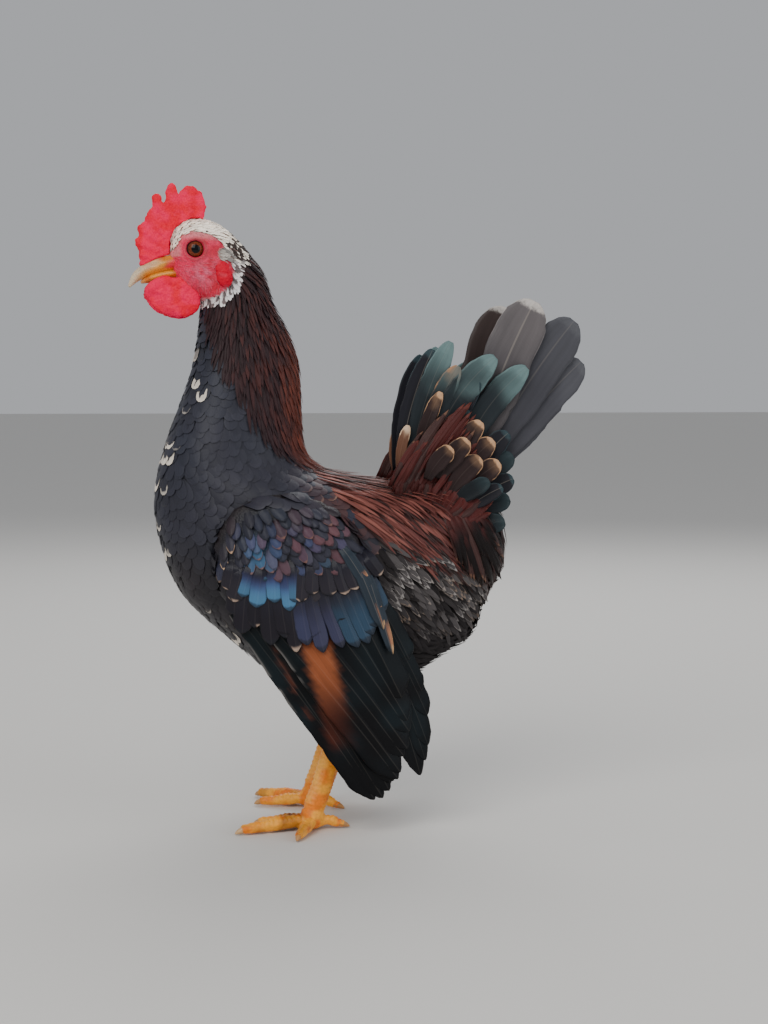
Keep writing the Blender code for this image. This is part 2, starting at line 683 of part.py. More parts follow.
def main():
    """Build every node of the bird."""
    clear_scene()
    parts = bpy.data.collections.new("bantam_cock")
    bpy.context.scene.collection.children.link(parts)

    slate = plain_material("slate_plumage", (0.05, 0.055, 0.075), 0.6)
    mahogany = plain_material("mahogany_plumage", (0.14, 0.045, 0.035), 0.6)
    quill = plain_material("wing_and_tail_plumage", (0.07, 0.08, 0.09), 0.45)
    red = plain_material("comb_skin", (0.62, 0.02, 0.03), 0.5)
    face = plain_material("face_skin", (0.60, 0.16, 0.14), 0.55)
    horn = plain_material("beak_horn", (0.72, 0.60, 0.40), 0.4)
    iris = plain_material("eye", (0.35, 0.12, 0.03), 0.1)
    scale = plain_material("leg_scales", (0.75, 0.42, 0.10), 0.5)
    nail = plain_material("claw_horn", (0.55, 0.42, 0.28), 0.4)

    torso = loft_levels("torso", BODY_LEVELS, 51.5, NECK_PLANE - GAP / 2, 32, 20, slate, parts, foot=50.6)
    neck = loft_levels("neck", NECK_LEVELS, NECK_PLANE + GAP / 2, HEAD_PLANE - GAP / 2, 28, 8,
                       mahogany, parts)
    head = loft_levels("head", HEAD_LEVELS, HEAD_PLANE + GAP / 2, 233.8, 28, 13, face, parts, top=234.3)

    beak_upper = tube_loft(UPPER_BEAK, 14, parts, "beak_upper", horn, (0, -1, 0))
    beak_lower = tube_loft(LOWER_BEAK, 14, parts, "beak_lower", horn, (0, -1, 0))
    clear_of(beak_upper, [head], parts)
    clear_of(beak_lower, [head, beak_upper], parts)

    comb = make_comb(parts, red)
    clear_of(comb, [head, beak_upper], parts)

    wattle = make_wattle(parts, red)
    clear_of(wattle, [head, beak_lower, beak_upper, neck], parts)
    mirrored(wattle, "wattle_right", red, parts)

    lobe = ball((0, 0, 0), 1.0, parts, "earlobe_left", red, 14, 10, (2.9, 2.2, 4.9))
    lobe.data.transform(turn_about_y(-0.25))
    for vertex in lobe.data.vertices:
        vertex.co += Vector((-52.4, -11.4, 212.4)) * MM
    clear_of(lobe, [head], parts)
    mirrored(lobe, "earlobe_right", red, parts)

    for side, name in ((-1, "eye_left"), (1, "eye_right")):
        ball((EYE_X, side * EYE_DEPTH, EYE_Z), EYE_RADIUS, parts, name, iris, 14, 8)
    join_all(head, make_lids(parts))
    clear_of(head, [bpy.data.objects["eye_left"], bpy.data.objects["eye_right"]], parts)

    for side in (-1, 1):
        pit = ball((-78.2, side * 3.7, 216.6), 1.0, parts, "pit", None, 10, 8, (1.3, 0.9, 0.7))
        apply_boolean(beak_upper, 'DIFFERENCE', other=pit)
        bpy.data.objects.remove(pit, do_unlink=True)
    keep_largest(beak_upper)
    weld(beak_upper)

    wing = make_wing(parts, quill, torso)
    mirrored(wing, "wing_right", quill, parts)

    tail = make_tail(parts, quill)
    clear_of(tail, [torso], parts)

    make_leg(parts, slate, scale, nail, torso, 1)
    make_leg(parts, slate, scale, nail, torso, -1)
    for thing in parts.objects:
        thing.data.transform(Matrix.Translation((CENTRE_SHIFT * MM, 0, 0)))


def turn_about_y(angle):
    """Turn about the Y axis."""
    return Matrix.Rotation(angle, 4, 'Y')


main()
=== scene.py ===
"""Standing bantam cock: skin, plumage, comb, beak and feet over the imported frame.

Sizes are in millimetres in the bird's own frame: it faces -X, its left side
is at -Y and the ground is Z = 0. Meshes are written in metres.
"""
import logging
import math
from dataclasses import dataclass, field
from enum import Enum
from itertools import product
from typing import Callable, Dict, List, Sequence, Tuple

import bmesh
import bpy
import numpy as np
from bmesh.types import BMesh, BMVert
from bpy.types import Material, Mesh, Node, NodeSocket, Object
from mathutils import Matrix, Vector
from mathutils.bvhtree import BVHTree


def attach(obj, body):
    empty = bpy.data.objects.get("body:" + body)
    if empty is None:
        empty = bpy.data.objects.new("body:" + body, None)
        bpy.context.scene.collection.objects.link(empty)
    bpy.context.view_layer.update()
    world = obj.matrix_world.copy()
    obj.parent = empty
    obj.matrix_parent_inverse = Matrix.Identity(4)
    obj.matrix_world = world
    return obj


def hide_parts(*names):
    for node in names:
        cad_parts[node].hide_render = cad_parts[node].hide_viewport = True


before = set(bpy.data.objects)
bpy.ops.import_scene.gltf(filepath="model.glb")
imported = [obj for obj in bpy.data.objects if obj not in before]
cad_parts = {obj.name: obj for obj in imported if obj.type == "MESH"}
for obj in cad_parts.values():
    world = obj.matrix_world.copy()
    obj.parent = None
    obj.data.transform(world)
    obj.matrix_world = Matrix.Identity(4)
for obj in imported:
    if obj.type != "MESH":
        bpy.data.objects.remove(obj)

LOG = logging.getLogger("bantam_cock")
MM = 0.001
CENTRE_SHIFT = -2.05
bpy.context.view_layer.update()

Array = np.ndarray
Point = Tuple[float, float]
Triple = Tuple[float, float, float]
Look = Tuple[Array, Array, Array]
Station = Tuple[Triple, float, float, float]


def shade(*display: int) -> Array:
    """Turn red, green and blue as displayed, 0 to 255, into linear light."""
    level = np.array(display) / 255.0
    return np.where(level <= 0.04045, level / 12.92, ((level + 0.055) / 1.055) ** 2.4)


class Hue:
    """Colours of skin, plumage and horn."""

    FACE = shade(228, 50, 86)
    FACE_DEEP = shade(206, 26, 60)
    FACE_BRIGHT = shade(248, 40, 92)
    CHEEK = shade(224, 112, 138)
    FOLD = shade(206, 0, 44)
    BROW = shade(232, 160, 160)
    LID = shade(168, 62, 66)
    SCALP = shade(206, 176, 168)
    BRISTLE = shade(218, 116, 132)
    BRISTLE_TIP = shade(228, 160, 168)
    COMB = shade(255, 0, 80)
    COMB_DEEP = shade(240, 0, 50)
    COMB_LIGHT = shade(255, 24, 104)
    LOBE = shade(212, 0, 46)
    LOBE_BLOOM = shade(232, 110, 130)
    BEAK_YELLOW = shade(232, 158, 52)
    BEAK_ORANGE = shade(214, 120, 34)
    BEAK_PALE = shade(222, 200, 168)
    BEAK_ROOT = shade(222, 44, 62)
    IRIS_DARK = shade(74, 32, 18)
    IRIS = shade(130, 60, 30)
    EYE_RIM = shade(44, 16, 12)
    LEG = shade(255, 172, 46)
    LEG_ORANGE = shade(240, 128, 18)
    # Painted highlight for the front of the shank.
    SHIN_PAINTED_HIGHLIGHT = shade(255, 186, 92)
    TOE_DARK = shade(96, 48, 34)
    NAIL_TIP = shade(210, 172, 124)
    NAIL_ROOT = shade(186, 132, 76)
    SLATE = shade(46, 49, 60)
    # Slate of the lower breast, darkened as painted shade.
    SLATE_SHADED = shade(33, 33, 38)
    SLATE_WARM = shade(48, 40, 44)
    SHOULDER_BROWN = shade(72, 47, 47)
    SHOULDER_BLUE = shade(54, 58, 80)
    SHOULDER_RIM = shade(120, 92, 80)
    THIGH = shade(52, 46, 46)
    CREAM = shade(224, 214, 200)
    SPECK = shade(54, 46, 44)
    RUFF = shade(206, 200, 200)
    RUFF_DARK = shade(92, 82, 82)
    EAR = shade(120, 116, 112)
    HACKLE_DARK = shade(42, 22, 26)
    HACKLE_RED = shade(106, 50, 36)
    SADDLE = shade(84, 38, 35)
    SADDLE_DARK = shade(42, 28, 27)
    # Painted highlight for the back's long feathers.
    SADDLE_PAINTED_HIGHLIGHT = shade(132, 78, 68)
    VENT = shade(42, 39, 40)
    VENT_GREY = shade(78, 74, 74)
    VENT_EDGE = shade(170, 164, 160)
    VENT_TAN = shade(150, 128, 110)
    BOW = shade(50, 50, 62)
    BOW_PURPLE = shade(60, 66, 96)
    BOW_ROSE = shade(92, 60, 66)
    BOW_TEAL = shade(42, 62, 78)
    BOW_BLUE = shade(58, 92, 122)
    BOW_UPPER = shade(42, 45, 56)
    # Painted shade for the coverts along the arm's upper rim.
    BOW_RIM_SHADE = shade(44, 32, 34)
    BOW_EDGE = shade(128, 92, 82)
    BOW_SPOT = shade(214, 178, 142)
    BLACK = shade(9, 9, 12)
    TEAL_BLACK = shade(20, 31, 36)
    CHESTNUT = shade(158, 88, 54)
    CHESTNUT_LOW = shade(74, 34, 24)
    QUILL_STREAK = shade(96, 50, 36)
    SILVER = shade(160, 156, 152)
    COVERT = shade(30, 29, 40)
    COVERT_DARK = shade(26, 22, 30)
    COVERT_BLUE = shade(54, 88, 118)
    COVERT_PURPLE = shade(64, 66, 98)
    COVERT_RIM = shade(26, 27, 34)
    COVERT_FLECK = shade(186, 160, 142)
    BAR_BLUE = shade(70, 80, 136)
    BAR_BRIGHT = shade(74, 122, 158)
    BAR_DARK = shade(40, 36, 44)
    REAR_BLUE = shade(48, 78, 104)
    REAR_SLATE = shade(40, 56, 72)
    MIDDLE_PURPLE = shade(56, 61, 94)
    MIDDLE_DARK = shade(52, 50, 68)
    TERTIAL = shade(38, 48, 58)
    TERTIAL_DROP = shade(170, 116, 84)
    BUFF = shade(206, 164, 120)
    # Painted shade for the far side's grey tail feather, with the underside's browner tone.
    FAR_TAIL_SHADE = shade(56, 42, 38)
    TAIL_TEAL = shade(96, 118, 118)
    TAIL_SILVER = shade(196, 190, 184)
    FAR_RUST = shade(92, 54, 44)
    FLOOR = shade(214, 212, 208)


def smooth(low: float, high: float, value: Array) -> Array:
    """Rise smoothly from 0 at low to 1 at high."""
    t = np.clip((np.asarray(value, dtype=float) - low) / (high - low), 0.0, 1.0)
    return t * t * (3 - 2 * t)


def blend(first: Array, second: Array, share: Array) -> Array:
    """Mix two colours or rows of colours by a share, or by one share for each row."""
    amount = np.asarray(share, dtype=float)[..., None]
    return np.asarray(first) * (1 - amount) + np.asarray(second) * amount


CELL_FACTORS = np.array([73856093, 19349663, 83492791])


def cells(points: Array, size: float, seed: int = 0) -> Array:
    """Give smooth random values from 0 to 1 that vary over a distance.

    Args:
        points: Places in millimetres, one a row.
        size: Distance over which the value changes.
        seed: Picks another pattern.

    Returns:
        One value for each place.
    """
    grid = points / size
    low = np.floor(grid).astype(np.int64)
    part = grid - low
    part = part * part * (3 - 2 * part)
    total = np.zeros(len(points))
    for corner in range(8):
        step = np.array([(corner >> k) & 1 for k in range(3)])
        a, b, c = ((low + step) * CELL_FACTORS).T
        code = a ^ b ^ c ^ (seed * 2654435761)
        value = ((code * 1103515245 + 12345) & 0x7FFFFFFF) / 0x7FFFFFFF
        total += value * np.prod(np.where(step == 1, part, 1 - part), axis=1)
    return total


# Finishes.


class Nodes:
    """A small builder for one material's node tree."""

    def __init__(self, name: str) -> None:
        """Start a Principled material.

        Args:
            name: The material's name.
        """
        self.material = bpy.data.materials.new(name)
        self.material.use_nodes = True
        self.tree = self.material.node_tree
        self.shader = self.tree.nodes["Principled BSDF"]

    def add(self, kind: str, **settings: object) -> Node:
        """Add a node and set its properties.

        Args:
            kind: The node's type name without its prefix.
            settings: Properties to set on it.

        Returns:
            The new node.
        """
        node = self.tree.nodes.new("ShaderNode" + kind)
        for key, value in settings.items():
            setattr(node, key, value)
        return node

    def wire(self, source: object, target: NodeSocket) -> None:
        """Link an output to an input, or set a plain value on it.

        Args:
            source: An output socket, a number or a colour.
            target: The input socket.
        """
        if isinstance(source, NodeSocket):
            self.tree.links.new(source, target)
        elif isinstance(source, (tuple, Array)):
            target.default_value = (*source, 1.0)
        else:
            target.default_value = source

    def maths(self, operation: str, first: object, second: object = 0.0, clamp: bool = False) -> NodeSocket:
        """Combine two values.

        Args:
            operation: Blender's name of the operation.
            first: First value or socket.
            second: Second value or socket.
            clamp: Keep the result from 0 to 1.

        Returns:
            The result's socket.
        """
        node = self.add("Math", operation=operation, use_clamp=clamp)
        self.wire(first, node.inputs[0])
        self.wire(second, node.inputs[1])
        return node.outputs[0]

    def plus(self, first: object, second: object, clamp: bool = False) -> NodeSocket:
        """Add two values."""
        return self.maths('ADD', first, second, clamp)

    def minus(self, first: object, second: object, clamp: bool = False) -> NodeSocket:
        """Take the second value from the first."""
        return self.maths('SUBTRACT', first, second, clamp)

    def times(self, first: object, second: object) -> NodeSocket:
        """Multiply two values."""
        return self.maths('MULTIPLY', first, second)

    def scaled(self, value: NodeSocket, factor: float, offset: float) -> NodeSocket:
        """Multiply a value by a factor and add an offset."""
        result = self.maths('MULTIPLY_ADD', value, factor)
        result.node.inputs[2].default_value = offset
        return result

    def ramp(self, value: object, low: float, high: float) -> NodeSocket:
        """Rise smoothly from 0 at low to 1 at high."""
        node = self.add("MapRange", interpolation_type='SMOOTHSTEP')
        self.wire(value, node.inputs["Value"])
        node.inputs["From Min"].default_value = low
        node.inputs["From Max"].default_value = high
        return node.outputs["Result"]

    def mix(self, share: object, first: object, second: object) -> NodeSocket:
        """Mix two colours by a share."""
        node = self.add("Mix", data_type='RGBA')
        for source, number in zip((share, first, second), (0, 6, 7)):
            self.wire(source, node.inputs[number])
        return node.outputs[2]

    def dim(self, colour: NodeSocket, value: NodeSocket) -> NodeSocket:
        """Multiply a colour's brightness by a value."""
        node = self.add("HueSaturation")
        self.wire(colour, node.inputs["Color"])
        self.wire(value, node.inputs["Value"])
        return node.outputs[0]

    def stored(self, name: str) -> NodeSocket:
        """Read a colour stored on the mesh."""
        return self.add("Attribute", attribute_name=name).outputs["Color"]

    def split(self, value: NodeSocket, kind: str = "SeparateXYZ") -> Sequence[NodeSocket]:
        """Split a place or a colour into its three values."""
        node = self.add(kind)
        self.wire(value, node.inputs[0])
        return node.outputs

    def noise(self, scale: float, detail: float = 3.0, place: object = None) -> NodeSocket:
        """Read a noise pattern on the object's own coordinates, with the scale in cells a metre."""
        node = self.add("TexNoise")
        for label, value in (("Scale", scale), ("Detail", detail), ("Roughness", 0.55)):
            node.inputs[label].default_value = value
        self.wire(self.place() if place is None else place, node.inputs["Vector"])
        return node.outputs["Fac"]

    def bumps(self, scale: float) -> NodeSocket:
        """Read the distance in a pattern of round cells."""
        node = self.add("TexVoronoi")
        node.inputs["Scale"].default_value = scale
        self.wire(self.place(), node.inputs["Vector"])
        return node.outputs["Distance"]

    def place(self, stretch: Triple = (1.0, 1.0, 1.0)) -> NodeSocket:
        """Give the object's own coordinates, stretched along the axes."""
        turn = self.add("Mapping")
        turn.inputs["Scale"].default_value = stretch
        self.wire(self.add("TexCoord").outputs["Object"], turn.inputs["Vector"])
        return turn.outputs["Vector"]

    def bump(self, height: object, strength: float, distance: float) -> None:
        """Raise the surface by a pattern, distance in metres."""
        node = self.add("Bump")
        node.inputs["Strength"].default_value = strength
        node.inputs["Distance"].default_value = distance
        self.wire(height, node.inputs["Height"])
        self.wire(node.outputs["Normal"], self.shader.inputs["Normal"])

    def finish(self, colour: object, roughness: object, specular: float = 0.5) -> Material:
        """Connect the colour and roughness and give the material back."""
        self.wire(colour, self.shader.inputs["Base Color"])
        self.wire(roughness, self.shader.inputs["Roughness"])
        self.shader.inputs["Specular IOR Level"].default_value = specular
        return self.material


@dataclass(frozen=True)
class PlumeFinish:
    """Finish of feather vanes, coloured by each feather's own attributes."""

    name: str
    roughness: float = 0.6
    barb_count: float = 26.0
    barb_bump: float = 0.5
    stripe: float = 0.10
    streak: float = 0.5
    specular: float = 0.3
    root_dark: float = 0.35
    shaft_width: float = 0.08
    shaft_tone: Triple = (0.62, 0.55, 0.46)
    barb_slant: float = 0.16
    barb_height: float = 0.00012

    def build(self) -> Material:
        """Make the material.

        Returns:
            The feather material.
        """
        nodes = Nodes(self.name)
        width, gloss, shaft_share = nodes.split(nodes.stored("plume_traits"), "SeparateColor")
        turn, along, _ = nodes.split(nodes.add("UVMap", uv_map="Vane").outputs["UV"])
        across = nodes.maths('ABSOLUTE', nodes.minus(nodes.times(turn, 2.0), 1.0))
        sides = nodes.times(across, nodes.ramp(along, 0.2, 0.75))
        rim = nodes.maths('MAXIMUM', sides, nodes.ramp(along, 0.55, 1.0))
        inside = nodes.minus(rim, nodes.minus(1.0, width))
        rim = nodes.maths('DIVIDE', inside, nodes.plus(width, 0.02), clamp=True)
        ragged = nodes.times(nodes.minus(nodes.noise(900.0, 2.0), 0.5), 0.7)
        rim = nodes.ramp(nodes.plus(rim, ragged), 0.15, 0.7)
        colour = nodes.mix(rim, nodes.stored("plume_base"), nodes.stored("plume_edge"))
        slant = nodes.times(across, self.barb_count * self.barb_slant)
        slant = nodes.minus(nodes.times(along, self.barb_count), slant)
        barbs = nodes.maths('SINE', nodes.times(slant, 2 * math.pi))
        hair = nodes.add("CombineXYZ")
        for value, stretch, socket in zip((turn, along, width), (9.0, 1.6, 173.0), hair.inputs):
            nodes.wire(nodes.times(value, stretch), socket)
        hairs = nodes.scaled(nodes.noise(1.0, 3.0, hair.outputs[0]), self.streak, 1.0 - self.streak / 2)
        root = nodes.scaled(nodes.ramp(along, 0.0, 0.45), self.root_dark, 1.0 - self.root_dark)
        fine = nodes.times(nodes.scaled(barbs, self.stripe, 1.0), hairs)
        colour = nodes.dim(colour, nodes.times(fine, root))
        shaft = nodes.minus(1.0, nodes.ramp(across, 0.02, self.shaft_width), clamp=True)
        shaft = nodes.times(shaft, shaft_share)
        colour = nodes.mix(shaft, colour, nodes.mix(0.55, colour, self.shaft_tone))
        height = nodes.plus(nodes.times(barbs, 0.5), nodes.times(shaft, 1.5))
        nodes.bump(height, self.barb_bump, self.barb_height)
        return nodes.finish(colour, nodes.scaled(gloss, -0.28, self.roughness), self.specular)


@dataclass(frozen=True)
class SkinFinish:
    """Finish of bare or thinly feathered skin, coloured by an attribute, with fine bumps."""

    name: str
    pebble: float = 1400.0
    depth: float = 0.00035
    roughness: float = 0.5
    subsurface: float = 0.12
    specular: float = 0.35
    mottle: float = 0.5
    # Strength of the painted shade in the creases between pebbles.
    crease_shade: float = 0.28
    reach: Triple = (0.0015, 0.0005, 0.0003)

    def build(self) -> Material:
        """Make the material.

        Returns:
            The skin material.
        """
        nodes = Nodes(self.name)
        grain = nodes.bumps(self.pebble)
        value = nodes.scaled(nodes.noise(260.0, 4.0), self.mottle, 1.03 - self.mottle / 2)
        # Painted shade in the creases between the pebbles.
        crease_shade = nodes.scaled(nodes.ramp(grain, 0.35, 0.75), -self.crease_shade, 1.0)
        colour = nodes.dim(nodes.stored("skin_tone"), nodes.times(value, crease_shade))
        nodes.bump(nodes.minus(1.0, grain), 0.55, self.depth)
        nodes.shader.inputs["Subsurface Weight"].default_value = self.subsurface
        nodes.shader.inputs["Subsurface Radius"].default_value = self.reach
        return nodes.finish(colour, self.roughness, self.specular)


@dataclass(frozen=True)
class HornFinish:
    """Finish of the nails: pale horn with a warmer base and fine streaks."""

    name: str
    tip: Array
    root: Array
    front: float
    back: float
    streak: float = 700.0

    def build(self) -> Material:
        """Make the material.

        Returns:
            The horn material.
        """
        nodes = Nodes(self.name)
        ahead, _, _ = nodes.split(nodes.place())
        mottle = nodes.noise(self.streak, 4.0, nodes.place((0.35, 1.0, 1.0)))
        uneven = nodes.times(nodes.minus(mottle, 0.5), 0.5)
        share = nodes.plus(nodes.ramp(ahead, self.front * MM, self.back * MM), uneven, clamp=True)
        colour = nodes.mix(share, self.tip, self.root)
        colour = nodes.mix(nodes.ramp(mottle, 0.5, 0.8), colour, self.root * 0.55)
        nodes.bump(mottle, 0.25, 0.0002)
        return nodes.finish(colour, 0.36, 0.5)


@dataclass(frozen=True)
class EyeFinish:
    """Finish of the eyeball: dark pupil, orange-brown iris and a dark rim."""

    centre: Triple
    pupil: float = 1.5
    iris: float = 2.55
    black: Triple = (0.003, 0.003, 0.004)

    def build(self) -> Material:
        """Make the material.

        Returns:
            The eye material.
        """
        nodes = Nodes("eye_clear_left" if self.centre[1] < 0 else "eye_clear_right")
        ahead, _, height = nodes.split(nodes.place())
        ahead, height = nodes.minus(ahead, self.centre[0] * MM), nodes.minus(height, self.centre[2] * MM)
        reach = nodes.maths('SQRT', nodes.plus(nodes.times(ahead, ahead), nodes.times(height, height)))
        reach = nodes.times(reach, 1.0 / MM)
        iris = nodes.mix(nodes.ramp(nodes.noise(1800.0, 3.0), 0.3, 0.7), Hue.IRIS_DARK, Hue.IRIS)
        rim = nodes.mix(nodes.ramp(reach, self.iris, self.iris + 0.45), iris, Hue.EYE_RIM)
        colour = nodes.mix(nodes.ramp(reach, self.pupil, self.pupil + 0.25), self.black, rim)
        return nodes.finish(colour, 0.06, 0.2)


# Mesh helpers.


def to_metres(points: Array) -> Array:
    """Turn design millimetres into the frame's metres."""
    placed = np.array(points, dtype=np.float64)
    placed[:, 0] += CENTRE_SHIFT
    return placed * MM


def design_points(mesh: Mesh) -> Array:
    """Give a placed mesh's vertices in design millimetres."""
    points = np.array([vertex.co for vertex in mesh.vertices]) / MM
    points[:, 0] -= CENTRE_SHIFT
    return points


def unit_rows(rows: Array) -> Array:
    """Bring each row to a length of 1."""
    return rows / np.maximum(np.linalg.norm(rows, axis=1), 1e-6)[:, None]


def attribute(mesh: Mesh, name: str, rows: Array) -> None:
    """Store one colour for each vertex.

    Args:
        mesh: The mesh.
        name: The attribute's name.
        rows: One colour a vertex.
    """
    layer = mesh.attributes.new(name, 'FLOAT_COLOR', 'POINT')
    values = np.ones((len(rows), 4), dtype=np.float32)
    values[:, :3] = rows
    layer.data.foreach_set("color", values.ravel())


def put_in(name: str, data: bpy.types.ID) -> Object:
    """Put a mesh, a lamp or a camera in the scene."""
    thing = bpy.data.objects.new(name, data)
    bpy.context.scene.collection.objects.link(thing)
    return thing


def add_piece(name: str, mesh: Mesh, material: Material, slot: str, nodes: Sequence[str] = ()) -> Object:
    """Put a finished mesh in the scene as a piece of the bird.

    Args:
        name: The piece's name.
        mesh: Its mesh, placed.
        material: Its finish.
        slot: The record's material slot; not used.
        nodes: CAD nodes that it stands for.

    Returns:
        The new object.
    """
    thing = put_in(name, mesh)
    mesh.materials.clear()
    mesh.materials.append(material)
    mesh.shade_smooth()
    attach(thing, "root")
    if nodes:
        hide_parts(*nodes)
    LOG.info("%s: %d faces", name, len(mesh.polygons))
    return thing


def sphere_rings(columns: int, rings: int) -> Tuple[BMesh, List[Tuple[BMVert, int, float]]]:
    """Make a closed ball with its vertices sorted into rings from bottom to top.

    Args:
        columns: Vertices round a ring.
        rings: Rings between the two ends.

    Returns:
        The mesh and each vertex with its ring and its turn.
    """
    shape = bmesh.new()
    bmesh.ops.create_uvsphere(shape, u_segments=columns, v_segments=rings + 1, radius=1.0)
    places = []
    for vertex in shape.verts:
        height = min(max(vertex.co.z, -1.0), 1.0)
        ring = round((1 - math.acos(height) / math.pi) * (rings + 1))
        places.append((vertex, ring, math.atan2(vertex.co.y, vertex.co.x)))
    return shape, places


def poured(shape: BMesh, name: str) -> Mesh:
    """Move a bmesh's shape into a new mesh."""
    mesh = bpy.data.meshes.new(name)
    shape.to_mesh(mesh)
    shape.free()
    return mesh


def mesh_of(shape: BMesh, name: str) -> Mesh:
    """Turn design millimetres in a bmesh into a placed mesh with faces pointing out."""
    for vertex in shape.verts:
        vertex.co = Vector(((vertex.co.x + CENTRE_SHIFT) * MM, vertex.co.y * MM, vertex.co.z * MM))
    bmesh.ops.recalc_face_normals(shape, faces=shape.faces)
    if shape.calc_volume(signed=True) < 0:
        bmesh.ops.reverse_faces(shape, faces=shape.faces)
    return poured(shape, name)


def feather_mesh(name: str, places: Array, faces: Array, count: int, vane: Array, patch: Array,
                 looks: Sequence[Array]) -> Mesh:
    """Join many feathers of one template into a mesh with its maps and colours.

    Args:
        name: The mesh's name.
        places: Vertices of all feathers in design millimetres.
        faces: The template's faces.
        count: Number of feathers.
        vane: Across and along of each vertex on its own feather.
        patch: Place of each vertex on the bake map.
        looks: Base colour, edge colour and traits of each vertex.

    Returns:
        The mesh, placed.
    """
    spots = len(places) // count
    quads = (faces[None, :, :] + (np.arange(count) * spots)[:, None, None]).reshape(-1, 4)
    mesh = bpy.data.meshes.new(name)
    mesh.vertices.add(len(places))
    mesh.vertices.foreach_set("co", to_metres(places).ravel())
    mesh.loops.add(quads.size)
    mesh.loops.foreach_set("vertex_index", quads.ravel())
    mesh.polygons.add(len(quads))
    mesh.polygons.foreach_set("loop_start", np.arange(len(quads)) * 4)
    mesh.update(calc_edges=True)
    for label, rows in (("Vane", vane), ("OFBake", patch)):
        layer = mesh.uv_layers.new(name=label)
        layer.data.foreach_set("uv", rows[quads.ravel()].astype(np.float32).ravel())
    for label, rows in zip(("plume_base", "plume_edge", "plume_traits"), looks):
        attribute(mesh, label, rows)
    return mesh


def tube(stations: Sequence[Station], columns: int, rings: int, across: Triple) -> BMesh:
    """Loft a closed tube through stations read with a smooth curve.

    Args:
        stations: Centre, half width, upper half height and lower half height of each.
        columns: Vertices round the tube.
        rings: Rings along it.
        across: Direction of its width.

    Returns:
        The mesh in millimetres.
    """
    table = np.array([(*c, w, u, l) for c, w, u, l in stations], dtype=float)
    knots = np.arange(len(table))
    shape, places = sphere_rings(columns, rings)
    fine = np.linspace(0, len(table) - 1, rings)
    values = np.stack([cubic(knots, table[:, k], fine) for k in range(table.shape[1])], axis=1)
    side = np.array(Vector(across).normalized())
    ahead = np.gradient(values[:, :3], axis=0)
    up = np.cross(ahead, side)
    up /= np.linalg.norm(up, axis=1)[:, None]
    for vertex, ring, turn in places:
        number = min(max(ring - 1, 0), rings - 1)
        centre = values[number, :3]
        if ring in (0, rings + 1):
            vertex.co = Vector(centre)
            continue
        lift = math.sin(turn)
        reach = values[number, 4] if lift > 0 else values[number, 5]
        vertex.co = Vector(centre + side * values[number, 3] * math.cos(turn) + up[number] * reach * lift)
    return shape


def cubic(knots: Array, values: Array, places: Array) -> Array:
    """Read a smooth curve through values at rising knots.

    Args:
        knots: Rising places of the values.
        values: The values.
        places: Where to read.

    Returns:
        The values there.
    """
    slopes = np.zeros(len(values))
    for k in range(len(values)):
        low, high = max(k - 1, 0), min(k + 1, len(values) - 1)
        slopes[k] = (values[high] - values[low]) / (knots[high] - knots[low])
    spot = np.clip(np.searchsorted(knots, places, side="right") - 1, 0, len(values) - 2)
    span = knots[spot + 1] - knots[spot]
    t = np.clip((places - knots[spot]) / span, 0.0, 1.0)
    return ((2 * t ** 3 - 3 * t ** 2 + 1) * values[spot] + (t ** 3 - 2 * t ** 2 + t) * slopes[spot] * span
            + (3 * t ** 2 - 2 * t ** 3) * values[spot + 1] + (t ** 3 - t ** 2) * slopes[spot + 1] * span)


# Body.

# Height, front x, rear x and half width of the trunk, neck and head.
BODY_LEVELS = (
    (51.5, -20.0, 8.0, 7.0),
    (53.5, -28.0, 17.0, 13.0),
    (58.0, -36.5, 26.0, 19.0),
    (64.0, -43.5, 34.0, 23.5),
    (71.0, -51.5, 44.5, 27.0),
    (79.0, -60.5, 49.0, 29.0),
    (88.0, -69.0, 53.0, 30.5),
    (98.0, -74.5, 58.8, 31.0),
    (108.0, -77.8, 60.5, 30.5),
    (117.0, -79.8, 60.0, 29.5),
    (123.0, -80.4, 55.0, 28.5),
    (128.0, -80.4, 42.0, 27.0),
    (131.5, -80.0, 24.0, 25.5),
    (134.5, -79.6, 8.0, 24.0),
    (138.0, -79.0, -8.0, 22.5),
    (142.0, -77.8, -16.0, 21.5),
    (145.0, -77.0, -18.8, 21.0),
    (151.0, -75.1, -19.8, 20.2),
    (158.0, -72.5, -20.4, 19.0),
    (166.0, -69.3, -20.6, 17.5),
    (175.0, -66.0, -21.2, 16.0),
    (184.0, -63.8, -22.9, 14.4),
    (193.0, -62.2, -26.8, 12.9),
    (200.0, -61.6, -30.6, 12.0),
    (204.0, -62.0, -32.4, 11.7),
    (207.0, -66.0, -33.6, 11.4),
    (210.5, -69.6, -35.2, 11.5),
    (214.5, -71.4, -37.2, 11.8),
    (218.5, -72.0, -39.6, 11.8),
    (222.5, -72.2, -42.4, 11.3),
    (226.5, -71.8, -46.0, 10.2),
    (230.0, -70.0, -50.0, 8.2),
    (232.6, -67.2, -54.0, 5.2),
    (233.8, -64.4, -57.6, 2.2),
)
EGG = 0.22
EYE = (-62.9, 8.5, 221.7)
EYE_RADIUS = 3.85
LID_REACH = 3.95
EYE_CLEAR = 5.2


def level_curve(levels: Sequence[Tuple[float, ...]], heights: Array) -> Array:
    """Read front, rear and half width at heights, one row each."""
    table = np.array(levels)
    return np.stack([cubic(table[:, 0], table[:, k], heights) for k in (1, 2, 3)], axis=1)


